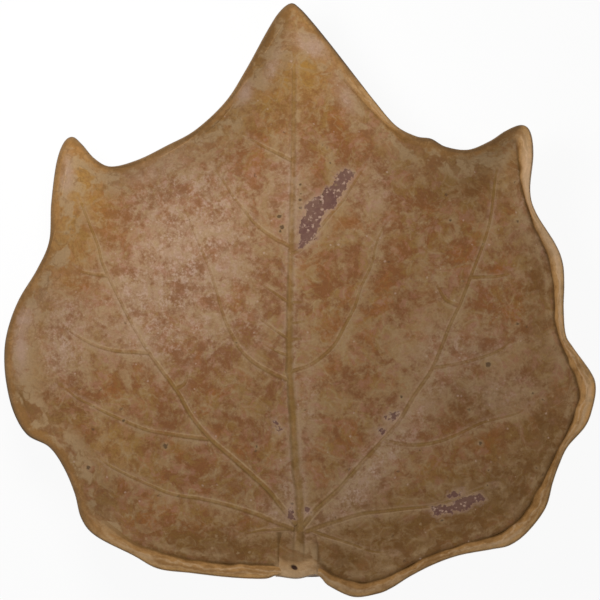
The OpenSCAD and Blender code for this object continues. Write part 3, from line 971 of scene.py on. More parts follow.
@dataclass
class GlazeLayers:
    """The layers of one glazed piece, each laid over the last.

    A step's first two numbers are the noise values, or the ways in metres, between which its
    layer fades in or out.
    """

    graph: Graph
    form: LeafForm
    palette: GlazePalette = GlazePalette()
    coat: GlazeCoat = GlazeCoat()
    color: Wire = field(init=False)

    def __post_init__(self) -> None:
        """Sets out the noises that several layers share, from 3 cm drifts down to grain."""
        graph = self.graph
        self.where = graph.place()
        drift = graph.noise(self.where, 15 * MM, 2, output="Color")
        moved = graph.vector("MULTIPLY", graph.vector("SUBTRACT", drift, (0.5, 0.5, 0.5)),
                             (9 * MM, 9 * MM, 9 * MM))
        self.swirl = graph.vector("ADD", self.where, moved)
        self.broad = graph.noise(self.where, 34 * MM, 3, 0.55)
        self.blotch = graph.noise(self.swirl, 8 * MM, 6, 0.7)
        self.dapple = graph.noise(self.where, 3.6 * MM, 3, 0.6)
        self.grain = graph.noise(self.where, 1.1 * MM, 3, 0.62)
        self.mottle = (self.blotch * 0.5 + self.dapple * 0.22 + self.grain * 0.1
                       + self.broad * 0.18)
        self.bare: Wire = graph.mark("pit")
        self.edge = graph.mark("edge_gap")
        self.heavy = graph.mark("heavy")
        self.vein = graph.mark("vein_gap")

    def lay(self, share: Value, color: tuple) -> None:
        """Lays a colour over the layers so far, by a share from 0 to 1."""
        self.color = self.graph.blend(share, self.color, color)

    def ground(self) -> None:
        """Rusty glaze under clouds of opal, tinted where the kiln left it redder or paler.

        The pale haze is partly a painted sheen, and the dark tint partly painted shade.
        """
        graph, step = self.graph, self.graph.step
        rust, ochre, olive, haze = (graph.mark(t.name.lower()) for t in
                                    (Tint.RUST, Tint.OCHRE, Tint.OLIVE, Tint.HAZE))
        self.color = graph.blend(step(self.mottle - rust * 0.05, 0.43, 0.56),
                                 self.palette.rust, self.palette.opal)
        warm = step(graph.noise(self.swirl, 11 * MM, 5, 0.68), 0.49, 0.6)
        self.lay(warm * step(self.dapple, 0.3, 0.6, 0.3, 0.7)
                 + rust * step(self.blotch, 0.6, 0.4) * 0.5, self.palette.orange)
        mossy = step(graph.noise(self.swirl, 7.5 * MM, 5, 0.68), 0.5, 0.6)
        self.lay(mossy * step(self.grain, 0.35, 0.6, 0.35, 0.65), self.palette.moss)
        rosy = step(graph.noise(self.swirl, 5.5 * MM, 5, 0.68), 0.51, 0.62)
        self.lay(rosy * step(self.dapple, 0.35, 0.6, 0.25, 0.75), self.palette.rose)
        self.lay(ochre * step(self.mottle, 0.42, 0.58, 0.35, 0.85), self.palette.ochre)
        # Dark tint: darker glaze in part, painted shade in part, most toward the lower right
        self.lay(olive * step(self.mottle, 0.42, 0.6, 0.8, 0.45), self.palette.olive)
        # Pale haze: pooled glaze in part, a painted sheen and painted light in part
        self.lay(haze * step(self.mottle + (self.grain - 0.5) * 0.12, 0.4, 0.58, 0.15, 0.85),
                 self.palette.haze)
        dots = step(self.dapple * 0.6 + self.grain * 0.4, 0.5, 0.62)
        self.lay(haze * dots * 0.45, self.palette.milk)

    def clouding(self) -> None:
        """Pale curls and the rungs of a net, where the opal broke and ran together."""
        graph, step = self.graph, self.graph.step
        net = graph.cells(self.swirl, 6 * MM, "DISTANCE_TO_EDGE") + (self.dapple - 0.5) * 0.16
        lines = step(net, 0.15, 0.0) * step(self.blotch, 0.46, 0.6)
        rings = step(abs(graph.noise(self.swirl, 9 * MM, 3) - 0.54), 0.04, 0.0)
        self.lay(lines * 0.5 + rings * 0.4 * step(self.dapple, 0.35, 0.6), self.palette.pool)
        wisps = step(abs(graph.noise(self.swirl, 7 * MM, 1) - 0.42), 0.03, 0.0)
        self.lay(wisps * 0.4 * step(self.broad, 0.55, 0.42), self.palette.crest)
        # The dark tint again: darker glaze in part, painted shade in part
        self.lay(graph.mark("olive") * step(self.mottle, 0.42, 0.6, 0.5, 0.3), self.palette.olive)

    def veins(self) -> None:
        """Opal pooled here and there in the corner beside a vein, most along the midrib, and pale
        opal laid on each vein's lower right side as painted light.
        """
        graph, step = self.graph, self.graph.step
        ragged = (self.dapple - 0.5) * 5 * MM + (self.blotch - 0.5) * 9 * MM
        clear = step(self.vein, -0.7 * MM, 0.3 * MM)
        # Painted light: pale opal on each vein's lower right side
        painted_lit_side = step(graph.mark("pool_gap") + ragged, 2.8 * MM, 0.3 * MM) * clear
        self.lay(painted_lit_side * step(self.mottle, 0.44, 0.56, 0.05, 0.45), self.palette.pool)
        beside = step(self.vein + ragged * 0.5, 1.4 * MM, 0.0) * clear
        self.lay(beside * step(self.dapple, 0.4, 0.6, 0.05, 0.3), self.palette.haze)
        midrib = step(graph.mark("midrib_gap") + ragged, 3.4 * MM, 0.3 * MM) * clear
        self.lay(midrib * step(self.blotch, 0.42, 0.56, 0.05, 0.5), self.palette.haze)

    def strand(self) -> None:
        """Olive gold along a vein, with painted shade down its left side and painted highlights
        outside both sides, strong on the right.
        """
        graph, step = self.graph, self.graph.step
        aside = graph.mark("aside") + (self.dapple - 0.5) * 0.6
        strong = graph.mark("strong") * (1 - graph.mark("haze") * 0.4)
        uneven = step(self.blotch, 0.35, 0.65, 1.0, 0.6)
        self.lay(strong * step(abs(aside), 1.1, 0.35) * uneven * 0.85, self.palette.rib)
        # Painted shade down the vein's left flank
        self.lay(strong * step(abs(aside + 0.6), 0.5, 0.0) * uneven * 0.75, self.palette.groove)
        # Painted highlight along the vein's right flank, and faintly outside its left side
        self.lay(strong * step(abs(aside - 1.2), 0.4, 0.1)
                 * step(self.blotch, 0.35, 0.6, 0.35, 0.8), self.palette.shine)
        self.lay(strong * step(abs(aside + 1.55), 0.35, 0.1) * 0.15, self.palette.shine)

    def margin(self) -> None:
        """Ochre over the worn edge with a ragged pale pool inside it, where no lip is rolled, and
        a dark line of painted shade along the edge.
        """
        step = self.graph.step
        light = step(self.heavy, 0.75, 0.3)
        ragged = (self.blotch - 0.5) * 14 * MM + (self.dapple - 0.5) * 4 * MM
        inner = self.edge + ragged
        patchy = step(self.graph.noise(self.swirl, 9 * MM, 3), 0.49, 0.57, 0.1, 0.9)
        pool = step(inner, 17 * MM, 8 * MM) * step(inner, 1.5 * MM, 3.5 * MM)
        self.lay(pool * patchy * (light * 0.75 + 0.2), self.palette.pool)
        band = step(self.edge + ragged * 0.55, 4.8 * MM, 2.2 * MM) * (
            1 - self.graph.mark("olive") * 0.7)
        self.lay(band * light * step(self.mottle, 0.42, 0.56, 0.95, 0.6), self.palette.gold)
        self.lay(band * light * step(self.dapple + self.broad, 1.08, 0.88) * 0.6,
                 self.palette.brown)
        curls = step(abs(self.graph.noise(self.swirl, 6 * MM, 3) - 0.5), 0.06, 0.0)
        self.lay(curls * step(self.edge, 16 * MM, 8 * MM) * light
                 * step(self.dapple, 0.42, 0.6) * 0.6, self.palette.brown)
        cream = step(self.edge, 1.4 * MM, 2.8 * MM) * step(self.edge, 13 * MM, 7 * MM)
        self.lay(self.graph.mark("haze") * light * cream * step(self.dapple, 0.3, 0.55, 0.4, 1.0),
                 self.palette.haze)
        # Painted shade: a dark line along the edge, where it rounds over away from the light
        self.lay(step(self.edge, 2.3 * MM, 0.3 * MM) * light * 0.55, self.palette.outer)

    def lip(self) -> None:
        """Golden tan over the rolled lip, with painted light on its inner face, a painted grey
        reflection and lighter colour over its outer side, and painted highlights along its crown;
        dark in its crease, partly as painted shade.
        """
        graph, step = self.graph, self.graph.step
        across = graph.mark("across")
        self.lay(self.heavy * 0.95, self.palette.gold)
        self.lay(self.heavy * step(self.mottle, 0.43, 0.55) * 0.7, self.palette.tan)
        self.lay(self.heavy * step(self.dapple + self.broad, 1.05, 0.85) * 0.5,
                 self.palette.brown)
        uneven = across + (self.blotch - 0.5) * 0.7
        # Painted light on the lip's inner face
        painted_lit_face = step(abs(uneven - 0.3), 0.3, 0.05) * step(self.dapple, 0.35, 0.6, 0.3, 0.75)
        self.lay(self.heavy * painted_lit_face, self.palette.glow)
        # Painted reflection: grey over the lip's outer half
        self.lay(self.heavy * step(uneven, 0.4, 0.9) * step(self.broad, 0.35, 0.6, 0.2, 0.6),
                 self.palette.painted_reflection_gray)
        # Painted light: lighter colour over the lip's outer half, less under the dark tint
        self.lay(self.heavy * step(uneven, 0.5, 0.95) * step(self.dapple, 0.3, 0.6, 0.35, 0.8)
                 * (1 - graph.mark("olive") * 0.3), self.palette.painted_light_amber)
        # Painted highlight along the lip's crown
        crown = step(abs(across - 0.58), 0.2, 0.0) * step(self.broad, 0.44, 0.6)
        self.lay(self.heavy * crown * 0.6, self.palette.pale)
        # Painted highlights: thin pale streaks that wander along the lip
        wander = across + (graph.noise(self.where, 11 * MM, 3, 0.65) - 0.5) * 1.2
        painted_highlight_threads = step(abs(wander - 0.4), 0.13, 0.0) + step(abs(wander - 0.72), 0.08, 0.0) * 0.6
        self.lay(self.heavy * painted_highlight_threads * step(self.dapple, 0.3, 0.6, 0.2, 0.65), self.palette.pale)
        # Pale haze over the lip: partly painted light on the right lip
        self.lay(self.heavy * graph.mark("haze") * step(across, 0.05, 0.3), self.palette.pale)
        # Brown on the lip under the dark tint: painted shade in part
        self.lay(self.heavy * graph.mark("olive") * step(self.mottle, 0.4, 0.58, 0.9, 0.45),
                 self.palette.brown)
        # Dark glaze and painted shade in the lip's crease
        self.lay(self.heavy * step(across, 0.13, 0.0) * 0.85, self.palette.crease)
        self.lay(graph.mark("ridge") * 0.3, self.palette.rib)
        self.lay(graph.mark("rails") * 0.6, self.palette.groove)

    def crease(self) -> None:
        """Dark glaze run into the crease where the slab meets the rolled lip, darkened further as
        painted shade, and painted shade along the pressed lines beside the tongue.
        """
        step = self.graph.step
        uneven = (self.dapple - 0.5) * 1.6 * MM
        inside = self.graph.mark("seam_gap") + uneven
        # Dark glaze and painted shade in the crease
        self.lay(self.heavy * step(inside, 1.3 * MM, 0.1 * MM) * 0.8, self.palette.crease)
        # Painted shade along the pressed lines beside the tongue
        beside = step(self.graph.mark("stem_gap") + uneven, 1.8 * MM, 0.2 * MM)
        self.lay(beside * 0.7, self.palette.crease)
        glow = step(abs(inside - 3 * MM), 1.6 * MM, 0.2 * MM) * step(self.blotch, 0.42, 0.6)
        self.lay(self.heavy * glow * 0.5, self.palette.pool)

    def flaws(self) -> None:
        """Bare clay with pale flecks inside a pale halo, and pinholes and seeds all over."""
        graph, step = self.graph, self.graph.step
        flat = graph.vector("MULTIPLY", self.where, (1.0, 1.0, 0.0))
        nearest: Value = FAR
        for x, y, radius in SPOTS:
            centre = (x * self.form.half[0], y * self.form.half[1], 0.0)
            way = graph.out("ShaderNodeVectorMath", {"operation": "DISTANCE"},
                            {0: flat, 1: centre}, "Value")
            nearest = graph.math("MINIMUM", way - radius * MM, nearest)
        ragged = (self.dapple - 0.5) * 3.2 * MM + (self.grain - 0.5) * 2 * MM
        seeds = nearest + ragged * 0.8 + 0.1 * MM
        self.lay(step(seeds, 1.5 * MM, 0.0, 0, 0.5), self.palette.pool)
        self.lay(step(seeds, 0.2 * MM, -0.4 * MM) * 0.85, self.palette.seed)
        gap = graph.mark("bare_gap") + ragged * 1.6 + 0.2 * MM
        self.lay(step(gap, 2.2 * MM, 0.0, 0, 0.5), self.palette.haze)
        bare = step(gap, 0.25 * MM, -0.25 * MM)
        self.lay(bare * step(self.blotch, 0.3, 0.6, 0.95, 0.75), self.palette.clay)
        flecks = graph.cells(self.swirl, 2.2 * MM, "F1") - (self.grain - 0.5) * 1.3
        self.lay(bare * step(flecks, 0.42, 0.2) * step(self.dapple, 0.36, 0.52) * 0.85,
                 self.palette.fleck)
        self.bare = graph.math("MAXIMUM", self.bare, bare)
        # Dots all over: size of a dot's cell, share of it that is dot, share of cells without
        for size, wide, chance, tone in ((3.4 * MM, 0.18, 0.76, self.palette.fleck),
                                         (5.0 * MM, 0.17, 0.55, self.palette.pool),
                                         (9.0 * MM, 0.07, 0.6, self.palette.seed)):
            middle = graph.cells(self.where, size, "F1") + (self.grain - 0.5) * 0.4
            pick = graph.cells(self.where, size, "F1", "Color")
            self.lay(step(middle, wide, wide * 0.4) * step(pick, chance, chance + 0.03) * 0.6,
                     tone)

    def speckle(self) -> None:
        """Fine lights and darks of the grain over everything."""
        graph = self.graph
        fine = graph.noise(self.where, 0.7 * MM, 2, 0.6)
        palette = self.palette
        tone = graph.blend(self.grain * 0.5 + fine * 0.5, palette.grain_dark, palette.grain_light)
        self.color = graph.blend(palette.grain_share, self.color, tone, "OVERLAY")

    def beneath(self) -> None:
        """Raw clay under the plate, glazed only near the edge."""
        step = self.graph.step
        line = step(self.edge + (self.blotch - 0.5) * 14 * MM, 9 * MM, 10 * MM)
        raw = self.graph.mark("beneath") * line
        self.lay(raw, self.palette.raw)
        self.lay(raw * step(self.dapple, 0.4, 0.62) * 0.6, self.palette.clay)
        self.bare = self.graph.math("MAXIMUM", self.bare, raw)

    def finish(self) -> None:
        """Closes the material with its relief."""
        self.lay(self.graph.mark("pit"), self.palette.pit)
        height = (self.blotch * 0.14 + self.dapple * 0.07 + self.grain * 0.035
                  - self.bare * 0.09) * MM
        self.coat.finish(self.graph, self.color, self.bare, height, self.blotch)


@dataclass(frozen=True)
class Finish:
    """One slot of the record, and the layers that make its glaze."""

    name: str
    layers: tuple

    def material(self, form: LeafForm) -> bpy.types.Material:
        """Builds the finish.

        Args:
            form: The leaf's form, for the places of flaws.

        Returns:
            The material.
        """
        material, graph = new_material(self.name)
        glaze = GlazeLayers(graph, form)
        for layer in self.layers:
            layer(glaze)
        glaze.finish()
        return material


class Glaze(Enum):
    """The plate's three finishes. Their ground runs on from piece to piece."""

    FLOOR = Finish("mottled_glaze", (
        GlazeLayers.ground, GlazeLayers.clouding, GlazeLayers.veins, GlazeLayers.margin,
        GlazeLayers.crease, GlazeLayers.flaws, GlazeLayers.speckle, GlazeLayers.beneath,
    ))
    LIP = Finish("ochre_glaze", (
        GlazeLayers.ground, GlazeLayers.clouding, GlazeLayers.veins, GlazeLayers.margin,
        GlazeLayers.lip, GlazeLayers.speckle,
    ))
    VEIN = Finish("vein_glaze", (
        GlazeLayers.ground, GlazeLayers.clouding, GlazeLayers.veins, GlazeLayers.strand,
        GlazeLayers.margin, GlazeLayers.flaws, GlazeLayers.speckle,
    ))


@dataclass
class LeafSlab:
    """The leaf cut from a rolled slab: floor, rising margin, rounded edge and flat foot."""

    form: LeafForm
    marks: SurfaceMarks
    top_rings: int = 84
    foot_rings: int = 24
    groove_deep: float = 0.9 * MM
    groove_wide: float = 1.3 * MM
    tuck: float = 0.5 * MM
    round_top: float = 0.8 * MM
    round_low: float = 1.2 * MM
    tongue_short: float = 0.2 * MM

    def ring_shares(self) -> np.ndarray:
        """Shares of the way out from the hub, denser outwards and densest beside the seam."""
        spread = (np.arange(1, self.top_rings + 1) / (self.top_rings + 1)) ** 0.8
        return np.concatenate([spread, (0.993, 0.996, 0.998, 1.0)])

    def build(self) -> bpy.types.Object:
        """Makes the slab.

        A ring is the slab's edge drawn in toward the hub by a share. The rings go out over
        the top, down the edge, and back in under the slab. Between its two ends the lip leaves
        the edge to the slab's tongue. A groove runs along the seam, and at a distance d it is
        exp(-(d / its width)^1.5) of its depth.

        Returns:
            The piece.
        """
        form = self.form
        every = slice(None, None, 2)
        seam, outward, heavy = form.seam[every], form.outward[every], form.heavy[every]
        place = np.arange(len(form.edge))[every] / form.steps
        tongue = smoothstep(np.minimum(place - TONGUE_LEFT + 1, TONGUE_RIGHT + 1 - place), 0, 1)
        tongue_edge = form.edge[every] - outward * self.tongue_short
        edge = seam + (tongue_edge - seam) * tongue[:, None]
        shares = self.ring_shares()
        plan = form.hub + (edge - form.hub) * shares[:, None, None]
        inward = (1 - shares)[:, None] * ((edge - form.hub) * outward).sum(1)
        deep = self.groove_deep * heavy * (1 - tongue)
        drop = deep * np.exp(-(np.maximum(inward, 0) / self.groove_wide) ** 1.5)
        flat = plan.reshape(-1, 2)
        top = form.top(flat).reshape(plan.shape[:2]) - drop
        rim_plan, rim_top = edge + outward * self.tuck, top[-1]
        under_rim = form.underside(rim_plan, form.edge_gap(rim_plan))
        wall_top = with_height(rim_plan, rim_top - self.round_top)
        wall_low = with_height(rim_plan, under_rim + self.round_low)
        low_shares = np.linspace(1, 0, self.foot_rings + 1)[:-1] ** 0.9
        low_plan = form.hub + (edge - form.hub) * low_shares[:, None, None]
        low_flat = low_plan.reshape(-1, 2)
        low = form.underside(low_flat, form.edge_gap(low_flat)).reshape(low_plan.shape[:2])
        rings = np.concatenate([
            with_height(plan, top), wall_top[None], wall_low[None], with_height(low_plan, low),
        ])
        poles = np.stack([form.hub, form.hub])
        pole_top = with_height(form.hub[None], form.top(form.hub[None]))[0]
        pole_low = np.append(form.hub, 0.0)
        spots = np.concatenate([rings[..., :2].reshape(-1, 2), poles])
        marks = self.marks.all(spots)
        is_top = np.arange(len(rings)) < len(shares) + 1
        beneath = np.repeat(~is_top, len(edge)).astype(float)
        marks["beneath"] = np.concatenate([beneath, [0.0, 1.0]])
        to_seam = np.concatenate([inward, np.full((len(rings) - len(inward), len(edge)), FAR)])
        marks["seam_gap"] = np.concatenate([to_seam.ravel(), [FAR, FAR]])
        return make_piece("leaf_slab_glazed", [Shell(rings, pole_top, pole_low, marks)])


@dataclass
class RimLip:
    """The rolled lip along the slab's edge, open at the stem."""

    form: LeafForm
    marks: SurfaceMarks
    crown_low: float = 0.06 * MM
    crown_high: float = 1.6 * MM
    groove: float = 0.9 * MM
    tucked: float = 1.6
    section_steps: int = 4
    end_rate: float = 160
    wander: tuple = ((0.035, 1.7 * MM, 0), (0.05, 3.3 * MM, 1), (0.035, 7.9 * MM, 2))
    swells: tuple = ((0.05, 5.3 * MM, 0), (0.04, 11 * MM, 3))

    def section(self, heavy: np.ndarray) -> np.ndarray:
        """Section of the lip at each place, as the share across and the height in metres.

        It goes from the lip's foot round the outside, over the crown and down into the seam.
        Where the lip is light, it lies flat on the slab and runs further in.

        Args:
            heavy: How far each place lies toward the lip's wide side, from 0 to 1.

        Returns:
            Places by section points by two.
        """
        top = self.form.slab + self.crown_low + (self.crown_high - self.crown_low) * heavy
        seam = self.form.slab - self.groove * heavy
        light = 1 - heavy
        corners = (
            (-0.1, 1.2 * MM), (0.12, 0.1 * MM), (0.55, 0), (0.86, 0.16 * top), (1.0, 0.48 * top),
            (0.972, 0.79 * top), (0.85, 0.955 * top), (0.58, top),
            (0.3, top - 0.2 * (top - seam) * heavy),
            (0.1, seam + (0.22 + 0.68 * light) * (top - seam)),
            (-0.02 - 0.45 * light, seam - 0.3 * MM * heavy + 0.04 * MM * light),
            (-0.12 - 0.78 * light, seam - 1.6 * MM * heavy - 0.04 * MM * light),
            (-0.12 - 1.1 * light, seam - 1.8 * MM * heavy - 0.3 * MM * light),
            (-0.1 - 0.8 * light, seam - 2.0 * MM * heavy - 0.9 * MM),
        )
        points = [np.stack(np.broadcast_arrays(x, z, top)[:2], 1) for x, z in corners]
        bent = smooth_curve(np.stack(points).reshape(len(points), -1), self.section_steps,
                            closed=True)
        return bent.reshape(len(bent), len(heavy), 2).transpose(1, 0, 2)

    def build(self) -> bpy.types.Object:
        """Makes the lip, by carrying its section along the edge from stem to stem.

        It rounds off at both ends, its inner side wanders, and its height swells and sinks.

        Returns:
            The piece.
        """
        form = self.form
        count = len(form.edge)
        first = round((LIP_END_RIGHT - self.tucked) * form.steps)
        last = count + round((LIP_END_LEFT + self.tucked) * form.steps)
        k = np.arange(first, last + 1) % count
        along = np.linspace(0, 1, len(k))
        heavy = form.heavy[k]
        section = self.section(heavy)
        closing = np.sqrt(np.clip(np.minimum(along, 1 - along) * self.end_rate, 0.02, 1))
        width = form.edge[k] - form.seam[k]
        passed = np.append(0, np.cumsum(np.linalg.norm(np.diff(form.edge[k], axis=0), axis=1)))
        wave = waves(self.wander, passed) * heavy
        inner = np.clip(1 - section[..., 0], 0, 1)
        plan = form.seam[k][:, None] + width[:, None] * (
            section[..., 0] + wave[:, None] * inner ** 1.5)[..., None]
        middle = form.slab * 0.5
        swell = 1 + waves(self.swells, passed)
        rise = middle + (section[..., 1] - middle) * (closing * swell)[:, None]
        flat = plan.reshape(-1, 2)
        gap = form.edge_gap(flat)
        base = form.underside(flat, gap) + form.unevenness(flat)
        rings = with_height(plan, base.reshape(plan.shape[:2]) + rise)
        marks = self.marks.all(flat)
        marks["across"] = section[..., 0].ravel()
        return make_piece("rim_lip_rolled", [capped(rings, marks)])


@dataclass
class StemStub:
    """The stub of the leaf's stem, pressed onto the slab between the lip's two ends."""

    form: LeafForm
    marks: SurfaceMarks
    width: float = 16.6 * MM
    length: float = 20.5 * MM
    rise: float = 1.1 * MM
    lip_rise: float = 1.3 * MM
    setback: float = -0.5 * MM
    flare: float = 0.17
    pit_at: tuple = (-2.4 * MM, -113.2 * MM)
    pit_size: tuple = (1.6 * MM, 0.95 * MM)
    pit_deep: float = 1.1 * MM
    ridge_rise: float = 0.72 * MM
    end_drop: float = 4.5 * MM
    sink: float = 0.08 * MM
    thick: float = 0.8 * MM
    cells: tuple = (44, 64)

    def build(self) -> bpy.types.Object:
        """Makes the stub.

        Rows of points run across it, from where it runs out into the floor to its blunt end.
        Its rise is 1 - x^8 across, swells to a lip at the end, and carries the midrib's ridge.

        Returns:
            The piece.
        """
        form = self.form
        tongue = form.edge[TONGUE_LEFT * form.steps:TONGUE_RIGHT * form.steps + 1]
        middle = (tongue[0, 0] + tongue[-1, 0]) / 2
        nx, ny = self.cells
        x = np.linspace(-1, 1, nx + 1)[None, :]
        t = 1 - (1 - np.linspace(0, 1, ny + 1)[:, None]) ** 1.6
        narrow = 1 - 0.2 * np.exp(-(t / 0.2) ** 2) + self.flare * smoothstep(t, 0.72, 1)
        end = self.setback + np.interp(
            middle + x * (1 + self.flare) * self.width / 2, tongue[:, 0], tongue[:, 1])
        plan = np.stack(np.broadcast_arrays(
            middle + x * narrow * self.width / 2, end + self.length * (1 - t)), axis=-1)
        swell = smoothstep(t, 0, 0.45)
        lip = np.exp(-((t - 0.86) / 0.13) ** 2)
        ridge = np.exp(-(x * narrow / 0.2) ** 2) * (1 - smoothstep(t, 0.25, 0.6))
        round_end = np.sqrt(np.clip((1 - t) / 0.035, 0, 1))
        body = (self.rise * swell + self.lip_rise * lip) * (1 - x ** 8)
        rise = (body + self.ridge_rise * ridge * smoothstep(t, 0, 0.08)) * round_end
        away = (plan - self.pit_at) @ np.array([[0.9, 0.44], [-0.44, 0.9]]) / self.pit_size
        pit = np.exp(-(away ** 2).sum(-1) ** 1.5)
        flat = plan.reshape(-1, 2)
        floor = form.top(flat).reshape(plan.shape[:2])
        drop = self.end_drop * (1 - round_end)
        top = floor + rise - drop - self.pit_deep * pit - self.sink
        low = floor - self.thick - drop * 0.9
        rings = np.concatenate([with_height(plan, top), with_height(plan, low)[:, ::-1]], axis=1)
        marks = self.marks.all(rings[..., :2].reshape(-1, 2))
        fading = 1 - smoothstep(t, 0.3, 0.75)
        rails = sum(np.exp(-((x - side) / 0.07) ** 2) for side in (-0.27, 0.27)) * fading
        # Each mark on the top, and its share of that underneath
        for name, over, beneath in (
            ("across", 0.3 + 0.3 * t + 0.25 * smoothstep(t, 0.96, 1), 1),
            ("heavy", smoothstep(t, 0.62, 0.8), 1),
            ("pit", smoothstep(pit, 0.25, 0.7), 0),
            ("rails", rails, 0),
            ("ridge", np.exp(-(x / 0.2) ** 4) * fading, 0),
        ):
            over = np.broadcast_to(over, top.shape)
            marks[name] = np.concatenate([over, beneath * over], axis=1).ravel()
        return make_piece("stem_stub_pressed", [capped(rings, marks)])


@dataclass
class VeinStrands:
    """The strands of one vein node, laid on the slab and smoothed down at their feet."""

    form: LeafForm
    marks: SurfaceMarks
    plan: VeinPlan
    steps: int = 18
    cells: int = 24
    foot_share: float = 0.9
    sink: float = 0.045 * MM
    smoothed: float = 0.27
    run_out: float = 9 * MM
    buried: float = 0.5 * MM

    def strand(self, route: Sequence[Sequence[float]], turn: float) -> Shell:
        """Makes one strand.

        At s half widths from its middle, its height is exp(-1.6 s^2) of the middle's, which
        halves on the way and fades out over the last stretch, run_out.

        Args:
            route: Shares that the strand's middle passes.
            turn: Phase of its hand made unevenness.

        Returns:
            The strand's shell.
        """
        form = self.form
        size = self.plan.rank.value
        line = smooth_curve(plan_of(route, form.half), self.steps, closed=False)
        ahead = np.gradient(line, axis=0)
        ahead /= np.linalg.norm(ahead, axis=1, keepdims=True)
        aside = np.stack([ahead[:, 1], -ahead[:, 0]], axis=1)
        passed = np.append(0, np.cumsum(np.linalg.norm(np.diff(line, axis=0), axis=1)))
        along = passed / passed[-1]
        uneven = 1 + waves(((0.1, 2.3 * MM, turn), (0.07, MM, turn)), passed)
        width = vein_width(size.wide, along)
        fade = smoothstep(passed[-1] - passed, 0, self.run_out)
        high = size.high * self.smoothed * (1 - 0.5 * along) * fade * uneven
        v = np.linspace(-1, 1, self.cells + 1)
        across = v[None, :] * width[:, None] * self.foot_share
        bell = np.exp(-1.6 * (2 * v * self.foot_share) ** 2)
        rise = high[:, None] * bell - self.sink * v ** 4 - self.sink * (1 - fade)[:, None]
        plan = line[:, None] + aside[:, None] * across[..., None]
        floor = form.top(plan.reshape(-1, 2)).reshape(across.shape)
        over = with_height(plan, floor + rise)
        inner = slice(1, -1, 3)
        low = with_height(plan[:, inner], floor[:, inner] - self.buried)[:, ::-1]
        rings = np.concatenate([over, low], axis=1)
        marks = self.marks.all(rings[..., :2].reshape(-1, 2))
        marks["aside"] = np.tile(np.append(v, v[inner][::-1]), len(rings)) / size.spread
        marks["strong"] = np.repeat(fade * (size.strong - size.fades * along), rings.shape[1])
        return capped(rings, marks)

    def build(self) -> bpy.types.Object:
        """Makes every strand of the node as one piece."""
        shells = [self.strand(route, 1.7 * i) for i, route in enumerate(self.plan.routes)]
        return make_piece(self.plan.name + "_strand", shells)


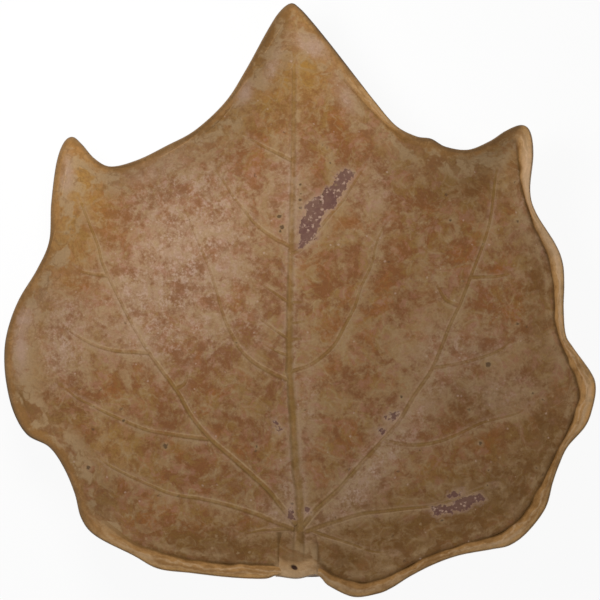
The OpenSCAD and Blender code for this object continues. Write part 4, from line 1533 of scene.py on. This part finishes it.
@dataclass
class Studio:
    """A pale table, soft light from the upper left and a camera straight above."""

    camera_high: float = 3.0
    view_wide: float = 253.8 * MM
    sensor: float = 36.0
    rim_high: float = 25 * MM
    lamp_at: tuple = (-0.1, 0.11, 0.21)
    lamp_wide: float = 0.14
    lamp_share: float = 0.81
    sky: float = 0.17
    table_wide: float = 6.0
    table_down: float = 0.3 * MM
    table_shadow: float = 0.06
    table_bounce: float = 0.35

    def camera(self) -> None:
        """Makes the camera, whose picture is view_wide across at the rim's height."""
        data = bpy.data.cameras.new("camera")
        data.sensor_width = self.sensor
        data.lens = self.sensor * (self.camera_high - self.rim_high) / self.view_wide
        camera = link("camera", data)
        camera.location = (0, 0, self.camera_high)
        bpy.context.scene.camera = camera

    def lamp(self) -> None:
        """Makes a square lamp aimed at the plate, which gives the table lamp_share of full light.

        A lamp of power P at a distance d lights the table, at an angle a from upright, to
        P cos(a) / (pi d)^2 of full light.
        """
        way = np.array(self.lamp_at)
        distance = float(np.linalg.norm(way))
        data = bpy.data.lights.new("key", "AREA")
        data.size = self.lamp_wide
        data.energy = self.lamp_share * (math.pi * distance) ** 2 * distance / self.lamp_at[2]
        lamp = link("key", data)
        lamp.location = self.lamp_at
        lamp.rotation_euler = Vector(-way).to_track_quat("-Z", "Y").to_euler()
        lamp.visible_camera = False
        lamp.visible_glossy = False

    def world(self) -> None:
        """Makes a plain sky that lights softly and looks white to the camera and to gloss."""
        world = bpy.data.worlds.new("studio")
        bpy.context.scene.world = world
        world.use_nodes = True
        graph = Graph(world.node_tree)
        strength = graph.seen() * (1 - self.sky) + self.sky
        sky = graph.out("ShaderNodeBackground", {}, {"Color": WHITE, "Strength": strength})
        graph.node("ShaderNodeOutputWorld", {}, {"Surface": sky})

    def table(self) -> None:
        """Makes the table, white to the camera but for a soft shadow, and clear from below."""
        half = self.table_wide / 2
        mesh = bpy.data.meshes.new("table")
        low = -self.table_down
        corners = [(-half, -half, low), (half, -half, low), (half, half, low), (-half, half, low)]
        mesh.from_pydata(corners, [], [(0, 1, 2, 3)])
        table = link("table", mesh)
        material, graph = new_material("pale_table")
        cloth = graph.out("ShaderNodeBsdfDiffuse", {}, {"Color": rgb(240, 239, 237)})
        white = graph.out("ShaderNodeEmission", {}, {"Color": WHITE, "Strength": 1.0})
        bounce = self.table_bounce
        share = graph.seen() * (1 - self.table_shadow - bounce) + bounce
        both = graph.out("ShaderNodeMixShader", {}, {0: share, 1: cloth, 2: white})
        clear = graph.out("ShaderNodeBsdfTransparent", {}, {})
        behind = graph.out("ShaderNodeNewGeometry", {}, {}, "Backfacing")
        sided = graph.out("ShaderNodeMixShader", {}, {0: behind, 1: both, 2: clear})
        graph.node("ShaderNodeOutputMaterial", {}, {"Surface": sided})
        mesh.materials.append(material)

    def build(self) -> None:
        """Sets up the picture."""
        self.camera()
        self.lamp()
        self.world()
        self.table()
        bpy.context.scene.view_settings.view_transform = "Standard"


def place_piece(piece: bpy.types.Object, node: str, glaze: Glaze,
                finishes: dict[Glaze, bpy.types.Material]) -> None:
    """Dresses a piece and lets it stand for its CAD node.

    Args:
        piece: The piece.
        node: The CAD node that it replaces.
        glaze: Its finish, which names the record's material slot.
        finishes: The material of every finish.
    """
    piece.data.materials.append(finishes[glaze])
    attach(piece, BODY)
    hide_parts(node)
    LOG.info("%s: %d triangles, in place of %s", piece.name, len(piece.data.polygons), node)


def main() -> None:
    """Builds the plate's pieces in order, then the studio."""
    logging.basicConfig(level=logging.INFO, format="%(message)s")
    form = LeafForm()
    marks = SurfaceMarks(form)
    finishes = {glaze: glaze.value.material(form) for glaze in Glaze}
    place_piece(LeafSlab(form, marks).build(), "leaf_slab", Glaze.FLOOR, finishes)
    place_piece(RimLip(form, marks).build(), "rim_lip", Glaze.LIP, finishes)
    place_piece(StemStub(form, marks).build(), "stem_stub", Glaze.LIP, finishes)
    for vein in VEINS:
        strands = VeinStrands(form, marks, vein)
        place_piece(strands.build(), vein.name, Glaze.VEIN, finishes)
    Studio().build()
    bpy.context.view_layer.update()


if __name__ == "__main__":
    main()
